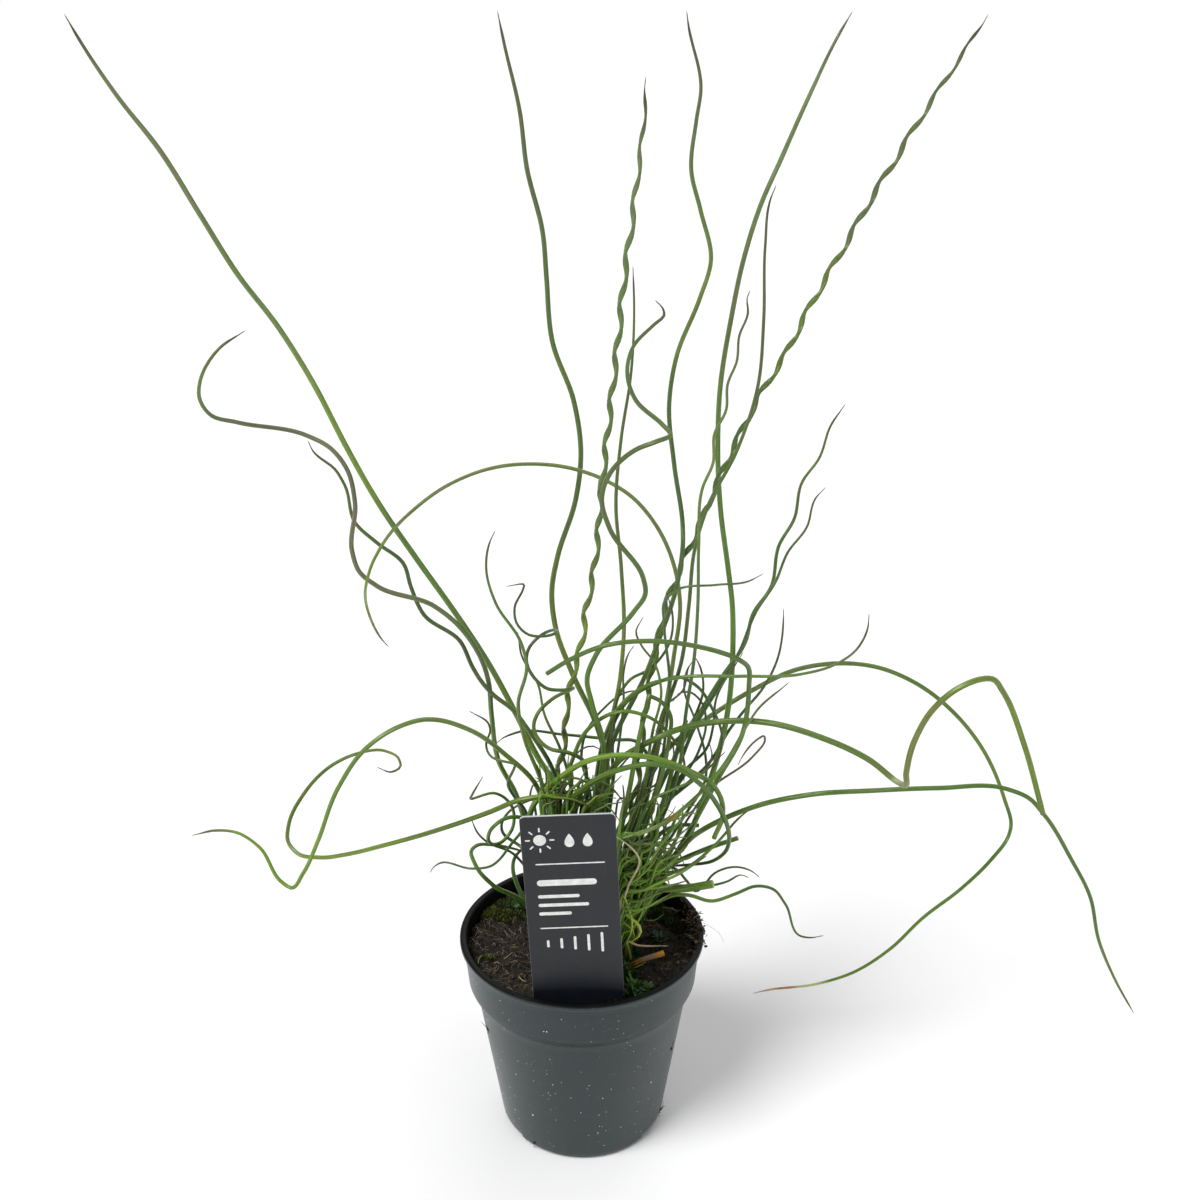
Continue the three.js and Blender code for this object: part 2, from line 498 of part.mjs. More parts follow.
    route: [[648, 806, -12], [657, 796], [668, 791, -11], [684, 786], [699, 776, -9], [713, 764],
      [724, 753, -7]],
  },
  front_stub: {
    root: [7, -9], thick: [1.6, 1.4], look: FRESH, tuft: 'front_tuft', cut: true,
    route: [[655, 800, -7], [662, 770], [668, 745, -5], [671, 727], [670, 714, -4], [665, 705],
      [657, 699], [649, 695.5, -4]],
  },
  front_tangle: {
    root: [12, -13], thick: [1.5, 0.9], look: FRESH, tuft: 'front_tuft',
    route: [[634, 880, -15], [640, 860], [650, 846, -17], [664, 842], [677, 850, -18], [684, 864, -18]],
  },
  front_knot: {
    root: [8, -16], thick: [1.5, 0.9], look: FRESH, tuft: 'front_tuft',
    route: [[624, 885, -17], [630, 864], [643, 851, -20], [658, 853], [667, 867, -21]],
  },
};

// ---- pot -------------------------------------------------------------------------------

const BAND_BOTTOM = POT_HEIGHT - BAND_HEIGHT;

function solid(geometry) {
  const plain = geometry.clone();
  plain.deleteAttribute('normal');
  plain.deleteAttribute('uv');
  const merged = mergeVertices(plain, 1e-4);
  return new wasm.Manifold(new wasm.Mesh({
    numProp: 3,
    vertProperties: Float32Array.from(merged.attributes.position.array),
    triVerts: Uint32Array.from(merged.index.array),
  }));
}

function geometryOf(body) {
  const mesh = body.getMesh();
  const geometry = new THREE.BufferGeometry();
  geometry.setAttribute('position', new THREE.BufferAttribute(Float32Array.from(mesh.vertProperties), 3));
  geometry.setIndex(Array.from(mesh.triVerts));
  return geometry;
}

// A lathe turned about the Z axis, from [radius, z] pairs.
function turned(profile, sides) {
  const points = profile.map(([radius, z]) => new THREE.Vector2(radius, z));
  return new THREE.LatheGeometry(points, sides).rotateX(Math.PI / 2);
}

function wallRadius(z) {
  return BODY_BOTTOM_RADIUS + (BODY_TOP_RADIUS - BODY_BOTTOM_RADIUS) * (z / BAND_BOTTOM);
}

function bandRadius(z) {
  const share = (z - BAND_BOTTOM) / BAND_HEIGHT;
  return BAND_BOTTOM_RADIUS + (BAND_TOP_RADIUS - BAND_BOTTOM_RADIUS) * share;
}

const LIP_BOTTOM = POT_HEIGHT - LIP_HEIGHT;
const STEP_TOP = BAND_BOTTOM + BAND_CHAMFER;

function potSolid() {
  const outside = [
    [0, 0],
    [FOOT_RADIUS, 0],
    [wallRadius(FOOT_CHAMFER), FOOT_CHAMFER],
    [BODY_TOP_RADIUS, BAND_BOTTOM],
    [bandRadius(STEP_TOP), STEP_TOP],
    [bandRadius(LIP_BOTTOM - LIP_UNDERCUT), LIP_BOTTOM - LIP_UNDERCUT],
    [LIP_RADIUS, LIP_BOTTOM],
    [LIP_RADIUS, POT_HEIGHT - LIP_ROUND],
    [LIP_RADIUS - LIP_ROUND, POT_HEIGHT],
  ];
  const inside = [
    [bandRadius(POT_HEIGHT) - WALL, POT_HEIGHT],
    [bandRadius(STEP_TOP) - WALL, STEP_TOP],
    [BODY_TOP_RADIUS - WALL, BAND_BOTTOM],
    [wallRadius(WALL) - WALL, WALL],
    [0, WALL],
  ];
  let body = solid(turned([...outside, ...inside], POT_SIDES));
  for (let i = 0; i < NOTCH_COUNT; i += 1) {
    const notch = new THREE.BoxGeometry(2 * NOTCH_DEPTH, NOTCH_WIDTH, 2 * NOTCH_HEIGHT);
    notch.translate(FOOT_RADIUS, 0, 0);
    notch.rotateZ(((i + NOTCH_START) * 2 * Math.PI) / NOTCH_COUNT);
    body = body.subtract(solid(notch));
  }
  return geometryOf(body);
}

// ---- soil ------------------------------------------------------------------------------

// The height of the soil's surface: a low crown with shallow lumps.
function soilHeight(x, y) {
  const spread = (x * x + y * y) / (LIP_RADIUS * LIP_RADIUS);
  const lumps = Math.sin(0.31 * x + 0.4) * Math.cos(0.27 * y - 0.9) + Math.sin(0.53 * (x + y));
  return SOIL_EDGE + SOIL_CROWN * (1 - spread) + SOIL_LUMP * lumps;
}

function footHole(stem) {
  const [x, y] = stem.root;
  const radius = (stem.thick[0] / 2 + GAP) / Math.cos(Math.PI / HOLE_SIDES);
  const top = soilHeight(x, y) + CUT_BEYOND;
  const bottom = stem.footZ - GAP;
  const hole = new THREE.CylinderGeometry(radius, radius, top - bottom, HOLE_SIDES);
  hole.rotateX(Math.PI / 2);
  hole.translate(x, y, (top + bottom) / 2);
  return solid(hole);
}

function labelSlot() {
  const bottom = LABEL_TIP - LABEL_SHOULDER - GAP;
  const top = SOIL_EDGE - LABEL_SHOULDER + CUT_BEYOND;
  const slot = new THREE.BoxGeometry(TONGUE_WIDTH + 2 * GAP, LABEL_THICKNESS + 2 * GAP, top - bottom);
  slot.translate(0, 0, (top + bottom) / 2);
  return solid(placeLabel(slot));
}

function soilSolid(stems) {
  const inner = bandRadius(SOIL_EDGE) - WALL - GAP;
  const floor = WALL + GAP;
  const profile = [
    [0, floor],
    [wallRadius(floor) - WALL - GAP, floor],
    [BODY_TOP_RADIUS - WALL - GAP, BAND_BOTTOM],
    [bandRadius(STEP_TOP) - WALL - GAP, STEP_TOP],
    [inner, SOIL_EDGE],
    ...SOIL_RINGS.map((radius) => [radius, SOIL_EDGE]),
    [0, SOIL_EDGE],
  ];
  const lathe = turned(profile, SOIL_SIDES);
  const position = lathe.attributes.position;
  for (let i = 0; i < position.count; i += 1) {
    if (position.getZ(i) > SOIL_EDGE - 0.01) {
      position.setZ(i, soilHeight(position.getX(i), position.getY(i)));
    }
  }
  let body = solid(lathe);
  for (const stem of stems) {
    body = body.subtract(footHole(stem));
  }
  for (const tuft of tufts(stems)) {
    body = body.subtract(runner(tuft, GAP));
  }
  return geometryOf(body.subtract(labelSlot()).simplify(SLIVER));
}

// ---- label -----------------------------------------------------------------------------

function placeLabel(geometry) {
  geometry.rotateX(LABEL_LEAN);
  geometry.rotateY(-LABEL_TILT);
  return geometry.translate(LABEL_PLACE.x, LABEL_PLACE.y, LABEL_PLACE.z);
}

function labelSolid() {
  const half = LABEL_WIDTH / 2;
  const top = LABEL_TOP - LABEL_SHOULDER;
  const tip = LABEL_TIP - LABEL_SHOULDER;
  const tongue = TONGUE_WIDTH / 2;
  const card = new THREE.Shape();
  card.moveTo(-half, 0);
  card.lineTo(-tongue, -SHOULDER_DROP);
  card.lineTo(-tongue, tip + TONGUE_POINT);
  card.lineTo(0, tip);
  card.lineTo(tongue, tip + TONGUE_POINT);
  card.lineTo(tongue, -SHOULDER_DROP);
  card.lineTo(half, 0);
  card.absarc(half - LABEL_CORNER, top - LABEL_CORNER, LABEL_CORNER, 0, Math.PI / 2);
  card.absarc(-half + LABEL_CORNER, top - LABEL_CORNER, LABEL_CORNER, Math.PI / 2, Math.PI);
  const options = { depth: LABEL_THICKNESS, bevelEnabled: false, curveSegments: 5 };
  const geometry = new THREE.ExtrudeGeometry(card, options);
  geometry.translate(0, 0, -LABEL_THICKNESS / 2);
  geometry.rotateX(Math.PI / 2);
  return placeLabel(geometry);
}

// ---- stems: routes ---------------------------------------------------------------------

// Roots that stand too close are moved apart on the soil.
function spreadRoots(stems) {
  for (let round = 0; round < 200; round += 1) {
    for (const a of stems) {
      for (const b of stems) {
        if (a === b) continue;
        const dx = b.root[0] - a.root[0];
        const dy = b.root[1] - a.root[1];
        const apart = Math.hypot(dx, dy);
        const push = (ROOT_SPACING - apart) / 2;
        if (push > 0) {
          a.root = [a.root[0] - (dx / apart) * push, a.root[1] - (dy / apart) * push];
          b.root = [b.root[0] + (dx / apart) * push, b.root[1] + (dy / apart) * push];
        }
      }
    }
  }
}

// Route points with no depth of their own lie evenly between those that have one.
function fillDepths(route) {
  const full = route.map((point) => [...point]);
  let last = 0;
  for (let i = 1; i < full.length; i += 1) {
    if (full[i].length === 3) {
      for (let k = last + 1; k < i; k += 1) {
        full[k].push(full[last][2] + ((full[i][2] - full[last][2]) * (k - last)) / (i - last));
      }
      last = i;
    }
  }
  return full;
}

// The stem's centre line: a straight foot in the soil, then the drawn route.
function centreLine(stem) {
  const [x, y] = stem.root;
  const level = soilHeight(x, y);
  stem.footZ = RUNNER_LEVELS[stem.tuft] ?? level - FOOT_DEPTH;
  stem.buried = level - stem.footZ;
  const anchors = [
    new THREE.Vector3(x, y, stem.footZ),
    new THREE.Vector3(x, y, level - stem.buried / 2),
    new THREE.Vector3(x, y, level + 1),
    ...fillDepths(stem.route).map(([across, down, depth]) => drawnPoint(across, down, depth)),
  ];
  const curve = new THREE.CatmullRomCurve3(anchors, false, 'centripetal');
  curve.arcLengthDivisions = 2000;
  const length = curve.getLength();
  const count = Math.ceil(length / SAMPLE_STEP);
  stem.line = curve.getSpacedPoints(count);
  stem.step = length / count;
  stem.length = length;
}

// Half the stem's thickness at a distance along it.
function stemRadius(stem, distance) {
  const left = stem.length - distance;
  const start = stem.thick[0];
  const end = stem.thick[1];
  const body = start + (end - start) * (distance / stem.length);
  if (stem.cut) return body / 2;
  const taper = Math.min(TIP_TAPER, stem.length / 3);
  const share = THREE.MathUtils.clamp(left / taper, 0, 1);
  return (TIP_THICKNESS + (body - TIP_THICKNESS) * Math.sqrt(share)) / 2;
}

// ---- stems: bent clear of each other ---------------------------------------------------

// CELL is wider than any two stems' radii and clearance. The crown, where stems make room
// for each other sideways, reaches CROWN_REACH along a stem. FIRM_LENGTH is how far above the
// soil a stem begins to give way. Contacts that lack less than SLIGHT are let be, and no
// sample moves more than LARGEST_MOVE in a round.
const CELL = 5;
const MOST_ROUNDS = 160;
const CROWN_REACH = 45;
const SELF_REACH = 9;
const FIRM_LENGTH = 10;
const SLIGHT = 0.15;
const LARGEST_MOVE = 0.5;
const LABEL_CLEARANCE = 2.5;
const LABEL_MARGIN = 4;
const SOIL_CLEARANCE = 0.4;

function cellKey(point) {
  return `${Math.floor(point.x / CELL)},${Math.floor(point.y / CELL)},${Math.floor(point.z / CELL)}`;
}

// Every sample of every stem, with how freely it may move (0 in its hole) and how much of
// that is sideways (only near the crown) instead of along the line of sight.
function makeSamples(stems) {
  const samples = [];
  stems.forEach((stem, owner) => {
    stem.line.forEach((point, i) => {
      const above = i * stem.step - stem.buried;
      samples.push({
        stem, owner, i, point,
        radius: stem.reach + stemRadius(stem, i * stem.step),
        free: THREE.MathUtils.clamp((above - 1) / FIRM_LENGTH, 0, 1),
        sideways: THREE.MathUtils.clamp(1 - above / CROWN_REACH, 0, 1),
        sight: point.clone().sub(EYE).normalize(),
        push: new THREE.Vector3(),
      });
    });
  });
  return samples;
}

// All pairs of samples that lie too near each other, with how much they lack.
function findContacts(samples) {
  const cells = new Map();
  for (const sample of samples) {
    const key = cellKey(sample.point);
    if (!cells.has(key)) cells.set(key, []);
    cells.get(key).push(sample);
  }
  const contacts = [];
  const around = [-1, 0, 1];
  for (const a of samples) {
    const [cx, cy, cz] = cellKey(a.point).split(',').map(Number);
    for (const x of around) {
      for (const y of around) {
        for (const z of around) {
          for (const b of cells.get(`${cx + x},${cy + y},${cz + z}`) ?? []) {
            const same = b.owner === a.owner;
            if (b.owner < a.owner) continue;
            if (same && (b.i - a.i) * a.stem.step < SELF_REACH) continue;
            const between = b.point.clone().sub(a.point);
            const lack = a.radius + b.radius + CLEARANCE - between.length();
            if (lack > 0) contacts.push({ a, b, between, lack, deeper: between.dot(a.sight) });
          }
        }
      }
    }
  }
  return contacts;
}

// Two stems that meet pass on the same sides of each other all along: the one that is
// nearer at first, over all their contacts, stays the nearer one.
function decideSides(contacts, sides) {
  const sums = new Map();
  for (const { a, b, deeper } of contacts) {
    const pair = `${a.owner},${b.owner}`;
    if (!sides.has(pair)) sums.set(pair, (sums.get(pair) ?? 0) + deeper);
  }
  for (const [pair, sum] of sums) sides.set(pair, sum < 0 ? -1 : 1);
}

function pushApart({ a, b, between, lack, deeper }, sides) {
  const side = a.owner === b.owner ? Math.sign(deeper) || 1 : sides.get(`${a.owner},${b.owner}`);
  const sideways = Math.min(a.sideways, b.sideways);
  const away = between.clone().normalize().multiplyScalar(sideways);
  const direction = a.sight.clone().multiplyScalar(side * (1 - sideways)).add(away).normalize();
  const total = a.free + b.free || 1;
  a.push.addScaledVector(direction, (-lack * a.free) / total);
  b.push.addScaledVector(direction, (lack * b.free) / total);
}

// Moves of one stem are spread over its neighbours, so that the stem stays smooth.
function spreadPushes(samples) {
  for (let pass = 0; pass < 3; pass += 1) {
    for (let k = 1; k < samples.length - 1; k += 1) {
      const here = samples[k];
      if (samples[k - 1].owner === here.owner && samples[k + 1].owner === here.owner) {
        const mean = samples[k - 1].push.clone().add(samples[k + 1].push).multiplyScalar(0.5);
        here.push.lerp(mean, 0.5);
      }
    }
  }
}

function keepBehindLabel(sample) {
  const { point } = sample;
  const front = LABEL_PLACE.y + LABEL_CLEARANCE + sample.radius;
  const beside = Math.abs(point.x - LABEL_PLACE.x) < LABEL_WIDTH / 2 + LABEL_MARGIN;
  if (beside && point.z < LABEL_TOP + LABEL_MARGIN && point.y < front) {
    point.y = front;
  }
}

function keepAboveSoil(sample) {
  const { point } = sample;
  const inside = Math.hypot(point.x, point.y) < LIP_RADIUS + 1;
  const above = sample.i * sample.stem.step - sample.stem.buried;
  if (!inside || above < CUT_BEYOND) return;
  const lowest = soilHeight(point.x, point.y) + sample.radius + SOIL_CLEARANCE;
  if (point.z < lowest) point.z = lowest;
}

function bendClear(stems) {
  const samples = makeSamples(stems);
  const sides = new Map();
  for (let round = 0; round < MOST_ROUNDS; round += 1) {
    const contacts = findContacts(samples);
    if (contacts.every(({ a, b, lack }) => lack < SLIGHT || a.free + b.free < 0.5)) break;
    for (const sample of samples) sample.push.set(0, 0, 0);
    decideSides(contacts, sides);
    for (const contact of contacts) pushApart(contact, sides);
    spreadPushes(samples);
    for (const sample of samples) {
      sample.push.clampLength(0, LARGEST_MOVE);
      sample.point.addScaledVector(sample.push, sample.free);
      keepBehindLabel(sample);
      keepAboveSoil(sample);
    }
  }
}

// ---- stems: solids ---------------------------------------------------------------------

// The samples that get a ring: as few as keep the centre line within CHORD_ERROR, and within
// FOOT_ERROR in the hole.
function ringPlaces(stem) {
  const places = [0];
  const longest = stem.turn ? stem.turn / RINGS_A_TURN : LONGEST_STEP;
  const last = stem.line.length - 1;
  let here = 0;
  while (here < last) {
    const inHole = here * stem.step < stem.buried + CUT_BEYOND;
    const allowed = inHole ? FOOT_ERROR : CHORD_ERROR;
    let next = here + 1;
    while (next < last && (next + 1 - here) * stem.step <= longest) {
      const chord = new THREE.Line3(stem.line[here], stem.line[next + 1]);
      const nearest = new THREE.Vector3();
      let error = 0;
      for (let k = here + 1; k <= next; k += 1) {
        chord.closestPointToPoint(stem.line[k], true, nearest);
        error = Math.max(error, nearest.distanceTo(stem.line[k]));
      }
      if (error > allowed) break;
      next += 1;
    }
    places.push(next);
    here = next;
  }
  return places;
}

// A closed tube through rings of corners, each end closed by a fan about its middle.
function tube(rings, start, end) {
  const sides = rings[0].length;
  const corners = [start, ...rings.flat(), end];
  const index = [];
  const at = (ring, side) => 1 + ring * sides + (side % sides);
  for (let side = 0; side < sides; side += 1) {
    index.push(0, at(0, side + 1), at(0, side));
    for (let ring = 0; ring < rings.length - 1; ring += 1) {
      index.push(at(ring, side), at(ring, side + 1), at(ring + 1, side + 1));
      index.push(at(ring, side), at(ring + 1, side + 1), at(ring + 1, side));
    }
    index.push(at(rings.length - 1, side), at(rings.length - 1, side + 1), corners.length - 1);
  }
  const geometry = new THREE.BufferGeometry().setFromPoints(corners);
  return geometry.setIndex(index);
}

// A ribbon's section is twice as wide as thick and goes round the centre line as it turns. It
// starts round, RIBBON_START above the soil, and is flat RIBBON_EASE further up.
const RIBBON_FLATNESS = 0.65;
const RIBBON_ORBIT = 0.7;
const RIBBON_START = 6;
const RIBBON_EASE = 30;

function sidesOf(stem) {
  if (stem.turn) return RIBBON_SIDES;
  return stem.thick[0] < THIN_STEM ? THIN_SIDES : STEM_SIDES;
}

function stemSolid(stem) {
  const { line } = stem;
  const places = ringPlaces(stem);
  const sides = sidesOf(stem);
  const rings = [];
  let across = new THREE.Vector3(1, 0, 0);
  places.forEach((place, k) => {
    const before = line[Math.max(place - 1, 0)];
    const after = line[Math.min(place + 1, line.length - 1)];
    const along = place === 0 ? new THREE.Vector3(0, 0, 1) : after.clone().sub(before).normalize();
    across = across.clone().addScaledVector(along, -across.dot(along)).normalize();
    const over = new THREE.Vector3().crossVectors(along, across);
    const distance = place * stem.step;
    const radius = stemRadius(stem, distance);
    const above = Math.max(0, distance - stem.buried - RIBBON_START);
    const turn = stem.turn ? (above / stem.turn) * 2 * Math.PI : 0;
    const ribbon = stem.turn ? THREE.MathUtils.clamp(above / RIBBON_EASE, 0, 1) : 0;
    const wide = across.clone().multiplyScalar(Math.cos(turn)).addScaledVector(over, Math.sin(turn));
    const thin = new THREE.Vector3().crossVectors(along, wide);
    const flat = 1 - ribbon * (1 - RIBBON_FLATNESS);
    const middle = line[place].clone().addScaledVector(thin, ribbon * RIBBON_ORBIT * radius);
    const ring = [];
    for (let side = 0; side < sides; side += 1) {
      const angle = (side / sides) * 2 * Math.PI;
      const corner = middle.clone().addScaledVector(wide, radius * Math.cos(angle));
      ring.push(corner.addScaledVector(thin, radius * flat * Math.sin(angle)));
    }
    rings.push(ring);
    if (k === places.length - 1) {
      stem.end = middle.clone().addScaledVector(along, stem.cut ? 0 : TIP_LENGTH);
    }
  });
  return tube(rings, line[0].clone(), stem.end);
}

// ---- tufts -----------------------------------------------------------------------------

function tufts(stems) {
  return Object.entries(RUNNER_LEVELS).map(([name, level]) => ({
    name, level, members: stems.filter((stem) => stem.tuft === name),
  }));
}

// The runner under a tuft, from root to root. With a gap it is its channel in the soil.
function runner({ members, level }, gap) {
  const reach = RUNNER_RADIUS + gap;
  const parts = members.slice(1).map((stem, i) => {
    const from = new THREE.Vector3(...members[i].root, level);
    const to = new THREE.Vector3(...stem.root, level);
    const length = from.distanceTo(to) + 2 * reach;
    const part = new THREE.CylinderGeometry(reach, reach, length, RUNNER_SIDES);
    const along = to.clone().sub(from).normalize();
    part.applyQuaternion(new THREE.Quaternion().setFromUnitVectors(new THREE.Vector3(0, 1, 0), along));
    part.translate((from.x + to.x) / 2, (from.y + to.y) / 2, level);
    return solid(part);
  });
  return wasm.Manifold.union(parts);
}

function tuftSolid(tuft) {
  const parts = tuft.members.map((stem) => solid(stemSolid(stem)));
  return geometryOf(wasm.Manifold.union([runner(tuft, 0), ...parts]).simplify(SLIVER));
}

// ---- assembly --------------------------------------------------------------------------

const rush = new THREE.Group();

function add(name, geometry, look) {
  const mesh = new THREE.Mesh(geometry, new THREE.MeshStandardMaterial(look));
  mesh.name = name;
  rush.add(mesh);
}

const stems = Object.entries(STEMS).map(([name, stem]) => ({
  name,
  reach: stem.turn ? (RIBBON_ORBIT / 3) * stem.thick[0] : 0,
  ...stem,
}));
spreadRoots(stems);
stems.forEach(centreLine);
bendClear(stems);

add('pot', potSolid(), POT_PLASTIC);
add('soil', soilSolid(stems), PEAT);
add('plant_label', labelSolid(), CARD);
for (const stem of stems.filter(({ tuft }) => !tuft)) {
  add(`stem_${stem.name}`, stemSolid(stem), stem.look);
}
for (const tuft of tufts(stems)) {
  add(`stem_${tuft.name}`, tuftSolid(tuft), tuft.members.at(-1).look);
}

export default rush;
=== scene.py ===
import json
import math
import random

import bmesh
import bpy
import numpy as np
from mathutils import Matrix, Vector, noise


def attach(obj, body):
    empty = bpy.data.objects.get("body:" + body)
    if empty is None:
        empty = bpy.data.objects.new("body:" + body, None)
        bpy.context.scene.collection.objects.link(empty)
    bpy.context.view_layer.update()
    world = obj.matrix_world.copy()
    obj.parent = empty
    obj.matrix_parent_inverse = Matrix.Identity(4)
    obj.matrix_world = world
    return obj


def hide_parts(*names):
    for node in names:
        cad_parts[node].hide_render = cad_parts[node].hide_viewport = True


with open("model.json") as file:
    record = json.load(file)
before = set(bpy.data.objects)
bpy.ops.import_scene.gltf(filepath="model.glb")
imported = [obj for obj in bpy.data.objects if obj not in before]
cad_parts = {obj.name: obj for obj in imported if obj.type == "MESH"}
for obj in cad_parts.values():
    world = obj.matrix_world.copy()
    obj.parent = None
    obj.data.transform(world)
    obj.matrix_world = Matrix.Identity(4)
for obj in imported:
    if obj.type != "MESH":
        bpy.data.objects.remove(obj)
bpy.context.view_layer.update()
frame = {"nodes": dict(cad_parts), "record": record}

# Blender's sizes are metres. Numbers here are millimetres unless MM multiplies them. +X is to
# the label's right, -Y is towards the camera and the pot stands on the floor at z = 0.
MM = 0.001

scene = bpy.context.scene
rng = random.Random(20)


# ---- camera --------------------------------------------------------------------------

EYE = Vector((6.7, -433.9, 388.4)) * MM
PITCH = math.radians(22.16)
FRAME_PIXELS = 1200
FOCAL_PIXELS = 1400
SENSOR = 36.0

camera_data = bpy.data.cameras.new("camera")
camera_data.sensor_width = SENSOR
camera_data.sensor_fit = "HORIZONTAL"
camera_data.lens = SENSOR * FOCAL_PIXELS / FRAME_PIXELS
camera_data.clip_start = 0.01
camera_data.clip_end = 50.0
camera = bpy.data.objects.new("camera", camera_data)
camera.location = EYE
camera.rotation_euler = (math.pi / 2 - PITCH, 0, 0)
scene.collection.objects.link(camera)
scene.camera = camera

EYE_MM = np.array(EYE) / MM
FORWARD = np.array([0.0, math.cos(PITCH), -math.sin(PITCH)])
UPWARD = np.array([0.0, math.sin(PITCH), math.cos(PITCH)])


def seen_at(point):
    """Where a point shows in the camera's 1200 by 1200 frame."""
    ray = np.asarray(point, float) - np.array(EYE)
    depth = ray @ FORWARD
    return (
        FRAME_PIXELS / 2 + FOCAL_PIXELS * ray[..., 0] / depth,
        FRAME_PIXELS / 2 - FOCAL_PIXELS * (ray @ UPWARD) / depth,
    )


def sight(across, down):
    """The direction of the camera's line of sight through a spot of that frame."""
    right = (across - FRAME_PIXELS / 2) / FOCAL_PIXELS
    up = (FRAME_PIXELS / 2 - down) / FOCAL_PIXELS
    return FORWARD + np.array([right, 0, 0]) + UPWARD * up


def at_depth(across, down, y):
    """The place in millimetres, y from the pot's axis, that shows at a spot of that frame."""
    ray = sight(across, down)
    return EYE_MM + ray * (y - EYE_MM[1]) / ray[1]


# ---- colours -------------------------------------------------------------------------


def linear(colour):
    """A hex colour such as "5d8a3c" in linear light."""
    parts = [int(colour[i : i + 2], 16) / 255 for i in (0, 2, 4)]
    return np.array([c / 12.92 if c <= 0.04045 else ((c + 0.055) / 1.055) ** 2.4 for c in parts])


def mix(a, b, share):
    share = np.clip(share, 0, 1)
    return a + (b - a) * share


def smooth(low, high, value):
    t = np.clip((value - low) / (high - low), 0, 1)
    return t * t * (3 - 2 * t)


# ---- materials -----------------------------------------------------------------------


class Shader:
    """A material's node tree, built one node at a time."""

    # A Mix node has its sockets once for each kind of data; these are the colour's.
    COLOUR_A, COLOUR_B, COLOUR_OUT = 6, 7, 2

    def __init__(self, name):
        self.material = bpy.data.materials.new(name)
        self.material.use_nodes = True
        self.tree = self.material.node_tree
        self.surface = self.tree.nodes["Principled BSDF"]

    def node(self, kind, inputs=(), **settings):
        made = self.tree.nodes.new(kind)
        for key, value in settings.items():
            setattr(made, key, value)
        for key, value in dict(inputs).items():
            self.put(made.inputs[key], value)
        return made

    def put(self, socket, value):
        if isinstance(value, bpy.types.NodeSocket):
            self.tree.links.new(value, socket)
        elif socket.type == "RGBA" and not isinstance(value, (int, float)) and len(value) == 3:
            socket.default_value = (*value, 1)
        else:
            socket.default_value = value

    def set(self, **inputs):
        for key, value in inputs.items():
            self.put(self.surface.inputs[key.replace("_", " ")], value)

    def math(self, operation, *values):
        made = self.node("ShaderNodeMath", operation=operation)
        for socket, value in zip(made.inputs, values):
            self.put(socket, value)
        return made.outputs[0]

    def place(self):
        return self.node("ShaderNodeTexCoord").outputs["Object"]

    def stretched(self, vector, scale):
        made = self.node("ShaderNodeMapping", {"Vector": vector, "Scale": scale})
        return made.outputs[0]

    def axes(self, vector):
        return self.node("ShaderNodeSeparateXYZ", {"Vector": vector}).outputs

    def written(self, name, output):
        """What a mesh attribute says."""
        return self.node("ShaderNodeAttribute", attribute_name=name).outputs[output]

    def noise(self, scale, vector=None, detail=3.0, roughness=0.55):
        vector = vector or self.place()
        made = self.node(
            "ShaderNodeTexNoise",
            {"Vector": vector, "Scale": scale, "Detail": detail, "Roughness": roughness},
        )
        return made.outputs["Fac"]

    def cells(self, scale):
        made = self.node("ShaderNodeTexVoronoi", {"Vector": self.place(), "Scale": scale})
        return made.outputs["Distance"]

    def ramp(self, value, *stops):
        made = self.node("ShaderNodeValToRGB", {"Fac": value})
        band = made.color_ramp
        while len(band.elements) < len(stops):
            band.elements.new(0.5)
        for element, (position, colour) in zip(band.elements, stops):
            element.position = position
            if isinstance(colour, (int, float)):
                colour = (colour, colour, colour)
            element.color = (*colour, 1)
        return made.outputs[0]

    def blend(self, share, a, b, how="MIX"):
        made = self.node("ShaderNodeMix", data_type="RGBA", blend_type=how)
        self.put(made.inputs["Factor"], share)
        self.put(made.inputs[self.COLOUR_A], a)
        self.put(made.inputs[self.COLOUR_B], b)
        return made.outputs[self.COLOUR_OUT]

    def bump(self, height, strength, distance, before=None):
        inputs = {"Height": height, "Strength": strength, "Distance": distance}
        if before is not None:
            inputs["Normal"] = before
        return self.node("ShaderNodeBump", inputs).outputs[0]


# ---- mesh helpers --------------------------------------------------------------------


def piece(name, corners, faces, material, slot, smooth_shading=True, replaced=()):
    mesh = bpy.data.meshes.new(name)
    mesh.from_pydata([tuple(map(float, c)) for c in corners], [], [tuple(f) for f in faces])
    mesh.materials.append(material)
    mesh.polygons.foreach_set("use_smooth", [smooth_shading] * len(mesh.polygons))
    mesh.update()
    made = bpy.data.objects.new(name, mesh)
    scene.collection.objects.link(made)
    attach(made, "root")
    if replaced:
        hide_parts(*replaced)
    return made


def paint(made, colours):
    """Writes one colour a corner of the mesh."""
    layer = made.data.color_attributes.new("tone", "FLOAT_COLOR", "POINT")
    full = np.ones((len(made.data.vertices), 4), np.float32)
    full[:, :3] = colours
    layer.data.foreach_set("color", full.ravel())


def rib_heights(made, values):
    """Writes one number a corner: how high on a rib it stands."""
    layer = made.data.attributes.new("rib", "FLOAT", "POINT")
    layer.data.foreach_set("value", np.asarray(values, np.float32))


def unit(vectors):
    """Rows of vectors at length one."""
    return vectors / np.linalg.norm(vectors, axis=1)[:, None]


def hermite(t, a, b, leaving, arriving, span=1.0):
    """From a to b with those slopes, at the share t of the way."""
    return (
        (2 * t**3 - 3 * t**2 + 1) * a
        + (t**3 - 2 * t**2 + t) * span * leaving
        + (3 * t**2 - 2 * t**3) * b
        + (t**3 - t**2) * span * arriving
    )


